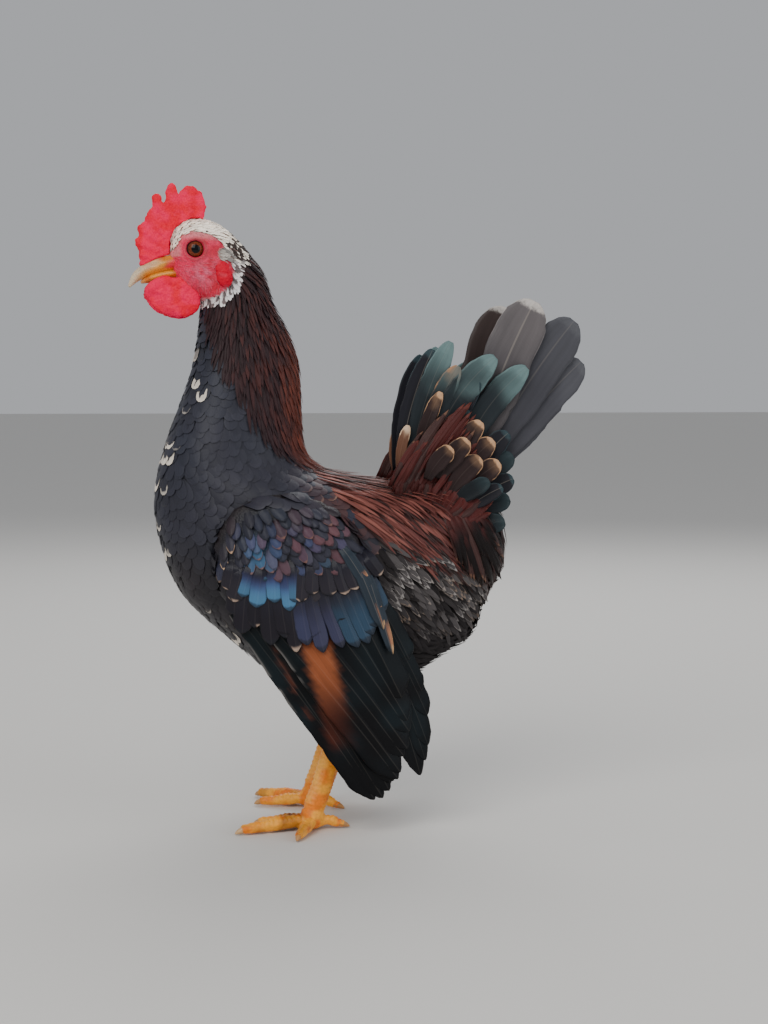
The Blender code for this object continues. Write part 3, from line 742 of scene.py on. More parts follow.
def trunk_half_width(x: Array, z: Array) -> Array:
    """Give the half width of the trunk at places of its side view.

    Args:
        x: Places along the bird.
        z: Heights.

    Returns:
        Half widths in millimetres.
    """
    front, rear, half = level_curve(BODY_LEVELS, z).T
    middle, reach = (front + rear) / 2, (rear - front) / 2
    across = np.clip((x - middle) / reach, -0.985, 0.985)
    return half * np.sqrt(1 - across ** 2) * (1 - EGG * across)


FACE_EDGE = (
    (-74.5, 219.5), (-70.2, 222.0), (-68.8, 226.3), (-64.5, 228.4), (-57.5, 227.6), (-53.0, 224.6),
    (-50.6, 220.0), (-48.6, 214.0), (-49.6, 208.6), (-54.0, 204.6), (-60.0, 203.0), (-66.0, 204.2),
    (-74.0, 206.0), (-80.0, 213.0),
)
EAR = (-52.2, 220.0, 2.3)


def inside_edge(x: Array, z: Array, outline: Sequence[Point]) -> Array:
    """Give the distance inside a closed outline of the side view, negative outside it.

    Args:
        x: Places along the bird.
        z: Heights.
        outline: Corners of the outline.

    Returns:
        Distances in millimetres.
    """
    best = np.full(len(x), 1e9)
    inner = np.zeros(len(x), dtype=bool)
    for (x0, z0), (x1, z1) in zip(outline, outline[1:] + outline[:1]):
        dx, dz = x1 - x0, z1 - z0
        t = np.clip(((x - x0) * dx + (z - z0) * dz) / (dx * dx + dz * dz), 0.0, 1.0)
        best = np.minimum(best, np.hypot(x - x0 - t * dx, z - z0 - t * dz))
        crosses = (z0 > z) != (z1 > z)
        inner ^= crosses & (x < x0 + (z - z0) / (dz if abs(dz) > 1e-9 else 1e-9) * dx)
    return np.where(inner, best, -best)


def face_share(points: Array) -> Array:
    """Tell how bare the skin is: 1 on the red face, 0 under feathers."""
    x, z = points[:, 0], points[:, 2]
    depth = inside_edge(x, z, FACE_EDGE)
    ear = np.hypot(x - EAR[0], (z - EAR[1]) * 0.9) - EAR[2]
    return smooth(-0.9, 0.7, np.minimum(depth, ear))


def coat_depth(points: Array) -> Array:
    """Give how far the skin lies under the plumage's outer surface."""
    z = points[:, 2]
    deep = 2.4 - 0.9 * smooth(150.0, 200.0, z) - 0.9 * smooth(202.0, 214.0, z)
    return deep * (1 - face_share(points)) + 0.12


@dataclass
class Skin:
    """One skin from belly to crown, with the thighs and the tail's stump joined on."""

    columns: int = 150
    feet: float = 51.5
    chin: float = 204.0
    top: float = 233.8
    poles: Point = (50.6, 234.3)
    stump_centre: Triple = (37.0, 0.0, 135.5)
    stump_reach: Triple = (21.5, 7.6, 10.6)
    thigh_sink: float = 1.6

    def heights(self) -> Array:
        """Give the rings' heights, closest on the head and at both round ends."""
        belly = self.feet + 6.0 * (np.linspace(0, 1, 7)[:-1]) ** 2
        body = np.linspace(self.feet + 6.0, self.chin, 78)[:-1]
        head = self.chin + (self.top - self.chin) * np.sin(np.linspace(0, math.pi / 2, 62))
        return np.concatenate([belly, body, head])

    def trunk(self) -> BMesh:
        """Loft the trunk, neck and head and sink them by the coat's depth."""
        heights = self.heights()
        rows = level_curve(BODY_LEVELS, heights)
        count = len(heights)
        shape, places = sphere_rings(self.columns, count)
        for vertex, ring, turn in places:
            number = min(max(ring - 1, 0), count - 1)
            front, rear, half = rows[number]
            middle, reach = (front + rear) / 2, (rear - front) / 2
            if ring in (0, count + 1):
                vertex.co = Vector((middle, 0.0, self.poles[ring > 0]))
                continue
            cosine = math.cos(turn)
            aside = half * math.sin(turn) * (1 - EGG * cosine)
            vertex.co = Vector((middle + reach * cosine, aside, heights[number]))
        bmesh.ops.recalc_face_normals(shape, faces=shape.faces)
        shape.normal_update()
        points = np.array([v.co for v in shape.verts])
        normals = np.array([v.normal for v in shape.verts])
        points -= normals * coat_depth(points)[:, None]
        points += normals * self.face_relief(points)[:, None]
        for vertex, place in zip(shape.verts, points):
            vertex.co = Vector(place)
        return shape

    def face_relief(self, points: Array) -> Array:
        """Give the height of lids, sockets and folds on the face."""
        ahead, above = points[:, 0] - EYE[0], points[:, 2] - EYE[2]
        reach = np.hypot(ahead, above)
        side = np.abs(points[:, 1]) > 4.0
        lid = 0.95 * np.exp(-((reach - LID_REACH) / 0.6) ** 2)
        waves = 0.5 + 0.5 * np.sin(6 * np.arctan2(above, ahead))
        second = 0.35 * np.exp(-((reach - 5.7) / 0.7) ** 2) * waves
        socket = -2.4 * (1 - smooth(2.4, 3.5, reach))
        folds = (cells(points, 1.15, 3) - 0.5) * 0.55 + (cells(points, 2.6, 5) - 0.5) * 0.55
        eyes = (lid + second + socket) * side * (points[:, 2] > 205)
        return eyes + folds * face_share(points) * (reach > 4.6)

    def thigh(self, side: int) -> BMesh:
        """Make one thigh, sunk by the coat's depth."""
        step, sink = leg_step(side), self.thigh_sink
        stations = [((x + step, -side * y, z), w - sink, u - sink, l - sink) for (x, y, z), w, u, l in THIGH]
        return tube(stations, 40, 40, (0, -1, 0))

    def stump(self) -> BMesh:
        """Make the stump that the tail feathers grow on."""
        shape, places = sphere_rings(48, 30)
        for vertex, _, _ in places:
            rows = zip(self.stump_centre, self.stump_reach, vertex.co)
            vertex.co = Vector([centre + reach * value for centre, reach, value in rows])
        return shape

    def build(self) -> Object:
        """Make the skin with its colours.

        Returns:
            The skin.
        """
        forms = []
        for number, shape in enumerate((self.trunk(), self.thigh(-1), self.thigh(1), self.stump())):
            name = f"skin_form_{number}"
            forms.append(put_in(name, mesh_of(shape, name)))
        whole = forms[0]
        for thing in forms[1:]:
            modifier = whole.modifiers.new("join", 'BOOLEAN')
            modifier.operation = 'UNION'
            modifier.solver = 'EXACT'
            modifier.object = thing
            with bpy.context.temp_override(object=whole, active_object=whole):
                bpy.ops.object.modifier_apply(modifier=modifier.name)
            bpy.data.objects.remove(thing, do_unlink=True)
        mesh = whole.data
        bpy.data.objects.remove(whole, do_unlink=True)
        attribute(mesh, "skin_tone", self.tones(design_points(mesh)))
        finish = SkinFinish("face_skin_bumps", mottle=0.25, crease_shade=0.2).build()
        nodes = ("torso", "neck", "head", "thigh_left", "thigh_right")
        return add_piece("skin", mesh, finish, "face_skin", nodes)

    @staticmethod
    def tones(points: Array) -> Array:
        """Colour the skin: red face, pale lids, dark under the plumage."""
        x, z = points[:, 0], points[:, 2]
        reach = np.hypot(x - EYE[0], z - EYE[2])
        red = blend(Hue.FACE, Hue.FACE_DEEP, smooth(0.3, 0.8, cells(points, 2.2, 8)))
        red = blend(red, Hue.FACE_BRIGHT, 0.8 * smooth(-60.0, -66.0, x))
        cheek = np.exp(-((x + 60.0) / 7.0) ** 2 - ((z - 212.5) / 4.5) ** 2)
        red = blend(red, Hue.CHEEK, np.clip(cheek * 0.7, 0, 1) * smooth(0.3, 0.6, cells(points, 1.6, 2)))
        ahead, below = x - EYE[0] - 8.0, z - EYE[2] + 13.5
        fold = np.exp(-((ahead - 0.8 * below) / 2.6) ** 2 - ((ahead + 0.8 * below) / 6.5) ** 2)
        red = blend(red, Hue.FOLD, 0.75 * fold)
        upper = smooth(224.0, 228.0, z) + smooth(-67.0, -70.0, x) * (z > 219.0)
        red = blend(red, Hue.BROW, 0.7 * np.clip(upper, 0, 1))
        red = blend(red, Hue.LID, 0.75 * np.exp(-((reach - LID_REACH) / 0.5) ** 2))
        # Under the plumage the feathers' own colours, darkened as painted shade.
        under = region_colour(points, np.full(len(points), 0.3))[0] * 0.7
        under = blend(under, Hue.SCALP, smooth(210.0, 216.0, z) * smooth(-44.0, -48.0, x))
        return blend(under, red, smooth(0.25, 0.6, face_share(points)))


FAR_LEG_STEP = 5.0
FAR_FOOT_TURN = 37.0
LEG_Y = 18.5
THIGH = (
    ((-2.0, 14.5, 71.0), 10.0, 15.0, 13.0),
    ((-4.0, 15.0, 62.0), 9.5, 13.5, 12.0),
    ((-7.5, 17.0, 50.0), 7.4, 8.8, 8.2),
    ((-9.3, 18.2, 41.5), 5.2, 5.9, 5.6),
    ((-10.2, LEG_Y, 37.0), 4.5, 5.0, 4.8),
)


def leg_step(side: int) -> float:
    """Give how far behind the left leg a leg stands."""
    return 0.0 if side < 0 else FAR_LEG_STEP


def word_of(side: float) -> str:
    """Tell left from right."""
    return "left" if side < 0 else "right"


# Regions and colours of the small feathers.


class Region(Enum):
    """Kinds of small feathers on the body."""

    BREAST = 0
    HACKLE = 1
    SADDLE = 2
    VENT = 3
    CROWN = 4
    THIGH = 5
    BARE = 6
    BOW = 7


# Height and front edge of the neck's cape, and place and lower edge of the back's red feathers.
HACKLE_EDGE = (
    (140.0, -14.0), (147.0, -22.0), (152.0, -31.0), (166.0, -43.0),
    (181.0, -52.0), (197.0, -58.0), (212.0, -58.0),
)
SADDLE_EDGE = (
    (-22.0, 138.0), (-6.0, 122.0), (12.0, 110.0), (28.0, 106.0), (44.0, 99.0), (52.0, 92.0), (60.0, 90.0),
)
# Place, height and size of the white spots on throat and breast.
WHITE_SPOTS = (
    (-62.0, 173.0, 2.6), (-60.0, 170.0, 2.0), (-52.0, 169.5, 1.4), (-70.5, 154.0, 2.4), (-72.0, 148.0, 2.6),
    (-71.0, 158.0, 1.6), (-75.0, 138.0, 2.0), (-74.0, 132.0, 1.6), (-77.0, 124.0, 1.6), (-75.0, 112.0, 1.6),
    (-61.0, 184.0, 1.6), (-63.0, 178.0, 1.4), (-70.0, 100.0, 1.6), (-63.0, 90.0, 1.8), (-57.0, 84.0, 1.6),
    (-52.0, 76.0, 1.6), (-64.0, 166.0, 1.4), (-57.0, 190.0, 1.2),
)
NECK_BOTTOM = 141.0
BACK_TOP = 146.0
BOW_TOP = 127.0
BOW_REAR = 8.0


def hackle_border(z: Array) -> Array:
    """Give the front edge of the neck's cape at a height."""
    return np.interp(z, *zip(*HACKLE_EDGE))


def saddle_border(x: Array) -> Array:
    """Give the lower edge of the back's red feathers at a place along the bird."""
    return np.interp(x, *zip(*SADDLE_EDGE))


def region_of(points: Array) -> Array:
    """Sort places of the skin into feather regions."""
    x, y, z = points.T
    kind = np.full(len(points), Region.BREAST.value)
    kind[(x > 2.0) & (z < saddle_border(x))] = Region.VENT.value
    kind[(x > -20.0) & (z > saddle_border(x)) & (z < BACK_TOP)] = Region.SADDLE.value
    kind[(z > NECK_BOTTOM) & (x > hackle_border(z))] = Region.HACKLE.value
    kind[(z < 60.0) & (np.abs(y) > 8.0)] = Region.THIGH.value
    top = (z > 217.0) & (x < -42.5 + 0.25 * (z - 222.0))
    ruff = (inside_edge(x, z, FACE_EDGE) > -2.6) & (x > -62.0) & (z > 202.0)
    kind[(top | ruff) & (z > 200.0)] = Region.CROWN.value
    kind[face_share(points) > 0.62] = Region.BARE.value
    arm = (np.abs(y) > wing_sheet(x, z) - 0.4) & (z < BOW_TOP) & (x < BOW_REAR)
    arm &= z > 105.0 + 0.06 * (x + 40.0)
    kind[arm & (x > -57.0 + 0.5 * np.maximum(z - 112.0, 0.0))] = Region.BOW.value
    kind[(z < 51.0)] = Region.THIGH.value
    return kind


def traits_of(count: int, width: float, gloss: float, shaft: float) -> Array:
    """Give every feather the same edge width, gloss and shaft."""
    return np.tile(np.array([width, gloss, shaft]), (count, 1))


def breast_look(points: Array, luck: Array) -> Look:
    """Colour slate breast feathers, browner on the shoulder and with white spots.

    Args:
        points: Places of the roots.
        luck: One random number a feather, 0 to 1.

    Returns:
        Base colours, edge colours and traits.
    """
    x, _, z = points.T
    chosen = region_of(points) == Region.BREAST.value
    # The slate darkens down the breast and to the front: painted shade.
    base = blend(Hue.SLATE, Hue.SLATE_SHADED, smooth(122.0, 100.0, z + 0.25 * (x + 60.0)))
    base = blend(base, Hue.SLATE_WARM, 0.5 * cells(points, 14.0, 4))
    shoulder = smooth(-38.0, -12.0, x) * smooth(108.0, 120.0, z) * chosen
    base = blend(base, Hue.SHOULDER_BROWN, shoulder * smooth(0.35, 0.7, luck) * 0.9)
    base = blend(base, Hue.SHOULDER_BLUE, 0.4 * shoulder * (luck < 0.2))
    edge = blend(base * 1.04, Hue.SHOULDER_RIM, shoulder * (luck > 0.88))
    spots = np.zeros(len(points))
    for spot_x, spot_z, size in WHITE_SPOTS:
        spots = np.maximum(spots, np.exp(-(((x - spot_x) ** 2 + (z - spot_z) ** 2) / (0.8 * size) ** 2)))
    white = smooth(0.25, 0.6, spots) * chosen * np.where(luck > 0.3, 1.0, 0.05)
    edge = blend(edge, Hue.CREAM, white)
    base = blend(base, Hue.CREAM, white * smooth(0.35, 0.6, spots) * (luck > 0.5))
    traits = traits_of(len(points), 0.22, 0.5, 0.0)
    traits[:, 0] = np.where(white > 0.5, 0.5, traits[:, 0])
    return base, edge, traits


def hackle_look(points: Array, luck: Array) -> Look:
    """Colour the neck's cape, dark in front and rusty behind."""
    x, _, z = points.T
    # Darker near the cape's front edge: the feathers' own darker front, deepened with painted shade.
    near_edge = np.exp(-np.clip(x - hackle_border(z), 0, 60) / 10.0)
    rust = 0.16 + 0.8 * smooth(-36.0, -22.0, x) - 0.4 * near_edge + 0.5 * (luck - 0.5)
    base = blend(Hue.HACKLE_DARK, Hue.HACKLE_RED, np.clip(rust, 0, 1))
    return base, base * 0.92, traits_of(len(points), 0.2, 0.4, 0.05)


def saddle_look(points: Array, luck: Array) -> Look:
    """Colour the back's long feathers: painted highlight streaks, most in front, and dark behind."""
    x, _, z = points.T
    dark = smooth(12.0, 38.0, x + 0.3 * (118.0 - z))
    base = blend(Hue.SADDLE, Hue.SADDLE_DARK, np.clip(dark * 0.95 + (luck < 0.38) * 0.8, 0, 1))
    # Painted highlights: light streaks at random and over the saddle's upper front, and a touch on every
    # edge.
    front = smooth(24.0, -6.0, x) * smooth(112.0, 126.0, z)
    light = 0.6 * smooth(0.72, 0.95, luck) * (1 - dark) + 0.3 * front * (luck > 0.38)
    base = blend(base, Hue.SADDLE_PAINTED_HIGHLIGHT, np.clip(light, 0, 1))
    return base, blend(base, Hue.SADDLE_PAINTED_HIGHLIGHT, 0.12), traits_of(len(points), 0.18, 0.55, 0.15)


def vent_look(points: Array, luck: Array) -> Look:
    """Colour the fluff, with pale fringes high up."""
    x, _, z = points.T
    base = blend(Hue.VENT, Hue.VENT_GREY, smooth(0.3, 0.8, luck) * smooth(82.0, 94.0, z + 0.2 * x))
    fleck = blend(Hue.VENT_EDGE, Hue.VENT_TAN, smooth(0.5, 0.7, cells(points, 9.0, 11)))
    fringe = smooth(0.35, 0.65, cells(points, 5.0, 13)) * smooth(78.0, 90.0, z)
    fringe *= np.where(luck > 0.35, 0.6, 0.1)
    return base, blend(base, fleck, fringe), traits_of(len(points), 0.3, 0.1, 0.0)


def thigh_look(points: Array, luck: Array) -> Look:
    """Colour the thighs' dark feathers."""
    # Mixed at random with the breast's shaded slate, a painted shade colour.
    base = blend(Hue.SLATE_SHADED, Hue.THIGH, luck)
    return base, base * 1.2, traits_of(len(points), 0.22, 0.5, 0.0)


def bow_look(points: Array, luck: Array) -> Look:
    """Colour the small coverts over the wing's bow."""
    x, _, z = points.T
    warm = smooth(0.3, 0.6, cells(points, 6.0, 14))
    blue = smooth(0.3, 0.6, cells(points + 50.0, 7.0, 21))
    base = blend(Hue.BOW, Hue.BOW_PURPLE, blue * (luck > 0.3))
    base = blend(base, Hue.BOW_ROSE, warm * smooth(0.3, 0.7, luck) * smooth(-50.0, -36.0, x))
    base = blend(base, Hue.BOW_TEAL, (luck > 0.75) * smooth(-44.0, -12.0, x) * smooth(120.0, 112.0, z))
    bright = np.exp(-(((x + 43.0) / 4.5) ** 2 + ((z - 110.0) / 5.0) ** 2))
    base = blend(base, Hue.BOW_BLUE, np.clip(bright * 1.4, 0, 1) * (luck > 0.2))
    base = blend(base, Hue.BOW_UPPER, smooth(117.0, 124.0, z) * smooth(-20.0, -36.0, x))
    # Painted shade on the feathers along the arm's upper rim, which face up to the light.
    base = blend(base, Hue.BOW_RIM_SHADE, 0.8 * (smooth(2.2, 0.6, arm_rise(x, z)) * smooth(104.0, 112.0, z)))
    edge = blend(base * 0.55, Hue.BOW_EDGE, ((luck > 0.5) & (luck < 0.62)) * 0.7)
    front = np.exp(-((x + 57.0) ** 2 + (z - 113.0) ** 2) / 30.0)
    spot = np.maximum(front, 0.75 * np.exp(-((x + 52.0) ** 2 + (z - 106.0) ** 2) / 14.0))
    edge = blend(edge, Hue.BOW_SPOT, smooth(0.25, 0.5, spot) * (luck > 0.25))
    return base, edge, traits_of(len(points), 0.24, 0.7, 0.0)


def crown_look(points: Array, luck: Array) -> Look:
    """Colour the crown cream with dark specks, and the ruff under the face pale and grey."""
    x, _, z = points.T
    cream = smooth(-49.0, -54.0, x - 0.3 * (z - 224.0)) * smooth(216.0, 221.0, z)
    crown = blend(Hue.CREAM, Hue.SPECK, np.where(luck > 0.99 - 0.6 * (1 - cream), 1.0, 0.0))
    crown = blend(crown, blend(Hue.RUFF, Hue.RUFF_DARK, luck > 0.62), smooth(219.0, 216.0, z))
    ear = np.hypot(x - EAR[0], z - EAR[1]) < EAR[2] + 0.6
    crown = blend(crown, Hue.EAR, ear * 0.75)
    # Brightened past the feathers' own colour: painted highlight.
    return crown * 1.5, crown * 1.75, traits_of(len(points), 0.3, 0.0, 0.0)


def bare_look(points: Array, luck: Array) -> Look:
    """Colour the fine bristles of the face."""
    size = (len(points), 1)
    return np.tile(Hue.BRISTLE, size), np.tile(Hue.BRISTLE_TIP, size), traits_of(len(points), 0.22, 0.5, 0.0)


REGION_LOOKS = {
    Region.HACKLE: hackle_look, Region.SADDLE: saddle_look, Region.VENT: vent_look, Region.THIGH: thigh_look,
    Region.BOW: bow_look, Region.CROWN: crown_look, Region.BARE: bare_look,
}


def region_colour(points: Array, luck: Array) -> Look:
    """Colour feathers by their place.

    Args:
        points: Places of the roots.
        luck: One random number a feather, 0 to 1.

    Returns:
        Base colours, edge colours and traits (edge width, gloss, shaft).
    """
    kind = region_of(points)
    look = breast_look(points, luck)
    for region, colour in REGION_LOOKS.items():
        mask = kind == region.value
        for own, part in zip(look, colour(points, luck)):
            own[mask] = part[mask]
    base, edge, traits = look
    tone = (0.82 + 0.36 * luck)[:, None]
    return base * tone, edge * tone, traits


def lie_of(points: Array, normals: Array) -> Array:
    """Give the direction in which feathers lie, along the skin.

    Args:
        points: Places on the skin.
        normals: The skin's normals there.

    Returns:
        Unit directions along the skin.
    """
    x, y, z = points.T
    side = np.sign(y + 1e-9)
    rump = smooth(30, 58, x)
    on_arm = smooth(-1.5, 0.5, np.abs(y) - wing_sheet(x, z)) * smooth(130.0, 122.0, z)
    on_arm *= (z > 74.0) * (x < BOW_REAR)
    # Share and direction of flanks, front, belly, back, saddle, tail's root, neck, head, thighs and wings.
    rows = (
        (1.0, (0.72, 0.0, -0.70)),
        (smooth(-0.35, -0.85, normals[:, 0]), (0.1, 0.0, -1.0)),
        (smooth(-0.3, -0.8, normals[:, 2]), (1.0, 0.0, 0.1)),
        (smooth(0.25, 0.8, normals[:, 2]) * (z < 150),
         (1.0, 0.42 * side * smooth(0.0, 8.0, np.abs(y)), -0.25)),
        (smooth(-8.0, 20.0, x) * smooth(96.0, 110.0, z) * (z < 150),
         (0.78 - 0.35 * rump, 0.2 * side, -0.62 - 0.3 * rump)),
        (smooth(8.0, 18.0, x) * smooth(131.0, 137.0, z) * (z < 160), (0.75, 0.0, 0.75)),
        (smooth(138.0, 158.0, z), (0.30 * smooth(-60.0, -30.0, x) - 0.12, 0.0, -1.0)),
        (smooth(205.0, 215.0, z), (0.9, 0.0, -0.55 * smooth(-62.0, -45.0, x))),
        (smooth(66.0, 56.0, z) * (np.abs(y) > 7.0), (-0.15, 0.0, -1.0)),
        (on_arm, (0.45 + 0.012 * (x + 30.0), 0.0, -0.85)),
    )
    flow = np.zeros((len(x), 3))
    for share, direction in rows:
        flow = blend(flow, np.stack(np.broadcast_arrays(*direction, x)[:3], axis=1), share)
    flow -= normals * np.sum(flow * normals, axis=1)[:, None]
    return unit_rows(flow)


@dataclass(frozen=True)
class VaneShape:
    """The outline of one kind of feather, with one row across for each share of its length."""

    shares: Tuple[float, ...]
    profile: Tuple[float, ...]
    columns: int = 2
    thick: float = 0.1
    camber: float = 0.14
    roundness: float = 0.35

    def template(self) -> Tuple[Array, Array, Array, Array]:
        """Make the flat closed vane that every feather of the kind is bent from.

        Returns:
            Across from -1 to 1, row number, face side (1 front, 0 back) and the faces.
        """
        rows = len(self.shares)
        shape = bmesh.new()
        bmesh.ops.create_grid(shape, x_segments=self.columns, y_segments=rows - 1, size=1.0)
        bmesh.ops.solidify(shape, geom=shape.faces[:], thickness=0.5)
        bmesh.ops.recalc_face_normals(shape, faces=shape.faces)
        shape.verts.ensure_lookup_table()
        across, along, high = np.array([v.co for v in shape.verts]).T
        faces = np.array([[v.index for v in face.verts] for face in shape.faces])
        shape.free()
        row = np.rint((along + 1) / 2 * (rows - 1)).astype(int)
        front = (high > (high.min() + high.max()) / 2).astype(float)
        return np.clip(across, -1.0, 1.0), row, front, faces


SCALE = VaneShape((0.0, 0.35, 0.7, 0.9, 1.0), (0.55, 0.95, 1.0, 0.74, 0.28), 2, 0.04, 0.06, 0.2)
BOW = VaneShape((0.0, 0.35, 0.7, 0.88, 1.0), (0.6, 1.0, 0.95, 0.62, 0.12), 2, 0.07, 0.16, 0.5)
LANCE = VaneShape((0.0, 0.3, 0.6, 0.84, 1.0), (0.6, 1.0, 0.9, 0.52, 0.06), 2, 0.06, 0.2, 0.45)
FLUFF = VaneShape((0.0, 0.3, 0.62, 0.86, 1.0), (0.6, 0.95, 0.9, 0.55, 0.12), 2, 0.04, 0.12, 0.3)
PATCH_SIZE = 0.003
PATCH_MARGIN = 0.01


def bake_places(points: Array) -> Array:
    """Unwrap places of the skin round its upright line.

    Args:
        points: Places on the skin.

    Returns:
        Places on the bake map, one row each.
    """
    heights = np.linspace(50.0, 234.0, 240)
    front, rear, _ = level_curve(BODY_LEVELS, np.clip(heights, BODY_LEVELS[0][0], BODY_LEVELS[-1][0])).T
    steps = [np.hypot(np.diff(line), np.diff(heights)) for line in (rear, front)]
    length = np.concatenate([[0.0], np.cumsum(steps[0] + steps[1])])
    rise = np.interp(points[:, 2], heights, length / length[-1])
    middle = np.interp(points[:, 2], heights, (front + rear) / 2)
    turn = np.arctan2(points[:, 1], points[:, 0] - middle) / (2 * math.pi) + 0.5
    return PATCH_MARGIN + (1 - 2 * PATCH_MARGIN) * np.stack([turn, rise], axis=1)


@dataclass(frozen=True)
class CoatPatch:
    """How the feathers of one region grow: where, how closely, how long and wide, and how far they rise."""

    name: str
    region: Region
    shape: VaneShape
    spacing: float
    length: float
    half: float
    lift: float
    spread: float = 0.12
    stand: float = 0.0
    slot: str = "body_plumage"

    def size_share(self, points: Array) -> Array:
        """Make feathers smaller up the neck, but not on the head."""
        small = self.region in (Region.CROWN, Region.BARE)
        return 1.0 - 0.55 * smooth(150.0, 208.0, points[:, 2]) * (not small)

    def holds(self, points: Array) -> Array:
        """Tell which places belong to the region, without the ring round the eye."""
        inside = region_of(points) == self.region.value
        if self.region is Region.BARE:
            x, _, z = points.T
            inside &= np.hypot(x - EYE[0], z - EYE[2]) > EYE_CLEAR
            inside &= (z < 218.5) | (z > 225.0) | (x < -68.5)
        return inside


@dataclass
class Coat:
    """Small feathers grown over the skin and the wings' arms, region by region."""

    surfaces: Sequence[Object]
    seed: int = 11
    first_rise: float = 0.15
    longest_step: float = 1.7
    points: Array = field(init=False, default=None)
    corners: Array = field(init=False, default=None)
    tree: BVHTree = field(init=False, default=None)

    def __post_init__(self) -> None:
        """Read the surfaces into one search tree in millimetres, in an order set by place alone."""
        shape = bmesh.new()
        for surface in self.surfaces:
            shape.from_mesh(surface.data)
        bmesh.ops.triangulate(shape, faces=shape.faces)
        for vertex in shape.verts:
            vertex.co = Vector((vertex.co.x / MM - CENTRE_SHIFT, vertex.co.y / MM, vertex.co.z / MM))
        shape.normal_update()
        points = np.array([v.co for v in shape.verts])
        order = np.lexsort(points.round(3).T)
        rows = np.argsort(order)[np.array([[v.index for v in f.verts] for f in shape.faces])]
        shape.free()
        corners = np.sort(rows, axis=1)
        self.points = points[order]
        self.corners = corners[np.lexsort(corners.T)]
        turned = np.take_along_axis(rows, (rows.argmin(axis=1)[:, None] + np.arange(3)) % 3, axis=1)
        self.tree = BVHTree.FromPolygons(self.points.tolist(), turned[np.lexsort(turned.T)].tolist())

    def outside(self, place: Array, normal: Array, reach: float) -> Tuple[Vector, Vector]:
        """Find the outer surface beside a place by looking back from outside it."""
        start = Vector(place) + Vector(normal) * reach
        found, out, _, _ = self.tree.ray_cast(start, -Vector(normal), reach * 2.2)
        if found is None:
            found, out, _, _ = self.tree.find_nearest(Vector(place))
        return found, out

    @staticmethod
    def thinned(spots: Array, spacing: float) -> List[int]:
        """Pick places one after another, each no closer to an earlier one than a spacing.

        Args:
            spots: Places to pick from.
            spacing: Least distance.

        Returns:
            Numbers of the picked places.
        """
        taken: Dict[Tuple[int, ...], List[int]] = {}
        kept: List[int] = []
        around = list(product((-1, 0, 1), repeat=3))
        for number, spot in enumerate(spots):
            a, b, c = (int(value // spacing) for value in spot)
            near = (taken.get((a + i, b + j, c + k), ()) for i, j, k in around)
            gaps = (spots[other] - spot for group in near for other in group)
            if all(x * x + y * y + z * z >= spacing * spacing for x, y, z in gaps):
                taken.setdefault((a, b, c), []).append(number)
                kept.append(number)
        return kept

    def sample(self, patch: CoatPatch) -> Tuple[Array, Array]:
        """Scatter roots over a region.

        Args:
            patch: The region's facts.

        Returns:
            Roots and normals.
        """
        first, second, third = (self.points[self.corners[:, k]] for k in range(3))
        area = np.linalg.norm(np.cross(second - first, third - first), axis=1) / 2
        rng = np.random.default_rng(self.seed + len(patch.name))
        wanted = int(area.sum() / patch.spacing ** 2 * 5)
        chosen = rng.choice(len(area), wanted, p=area / area.sum())
        a, b = rng.random(wanted), rng.random(wanted)
        flip = a + b > 1
        a[flip], b[flip] = 1 - a[flip], 1 - b[flip]
        spots = first[chosen] + (second - first)[chosen] * a[:, None] + (third - first)[chosen] * b[:, None]
        spots = spots[patch.holds(spots)]
        roots = spots[self.thinned(spots, patch.spacing)]
        normals = np.array([self.tree.find_nearest(Vector(p))[1] for p in roots])
        starts = roots + normals * 0.3
        shown = [self.tree.ray_cast(Vector(p), Vector(n), 9.0)[0] is None for p, n in zip(starts, normals)]
        return roots[shown], normals[shown]

    def grow(self, patch: CoatPatch, finish: Material) -> Object:
        """Grow one region's feathers.

        Args:
            patch: How they grow.
            finish: Their material.

        Returns:
            The joined piece.
        """
        roots, normals = self.sample(patch)
        rng = np.random.default_rng(self.seed * 7 + len(patch.name))
        count = len(roots)
        luck = rng.random(count)
        lengths = patch.length * (0.85 + 0.3 * rng.random(count)) * patch.size_share(roots)
        half = patch.half * (0.88 + 0.24 * rng.random(count)) * patch.size_share(roots) ** 0.7
        swing = rng.normal(0.0, patch.spread, count)[:, None]
        stand = patch.stand * rng.random(count)
        shares = np.array(patch.shape.shares)
        centres, outs, sides = (np.zeros((count, len(shares), 3)) for _ in range(3))
        here, normal = roots.copy(), normals.copy()
        heading = lie_of(here, normal)
        heading = heading * np.cos(swing) + np.cross(normal, heading) * np.sin(swing)
        for row, share in enumerate(shares):
            if row:
                ahead = here + heading * (lengths * (share - shares[row - 1]))[:, None]
                for number in range(count):
                    here[number], out = self.outside(ahead[number], normal[number], 3.0)
                    normal[number] = (Vector(normal[number]) * 0.5 + out * 0.5).normalized()
                heading = heading * 0.6 + lie_of(here, normal) * 0.4
                heading = unit_rows(heading - normal * np.sum(heading * normal, axis=1)[:, None])
            rise = self.first_rise + (patch.lift * (0.8 + 0.4 * luck) + stand) * share ** 0.8
            centres[:, row] = here + normal * rise[:, None]
            outs[:, row] = normal
            sides[:, row] = unit_rows(np.cross(heading, normal))
        steps = np.linalg.norm(np.diff(centres, axis=1), axis=2)
        even = (steps / (lengths[:, None] * np.diff(shares)[None, :] + 0.35)).max(axis=1) < self.longest_step
        return self.join(patch, finish, *(part[even] for part in (centres, outs, sides, half, roots, luck)))

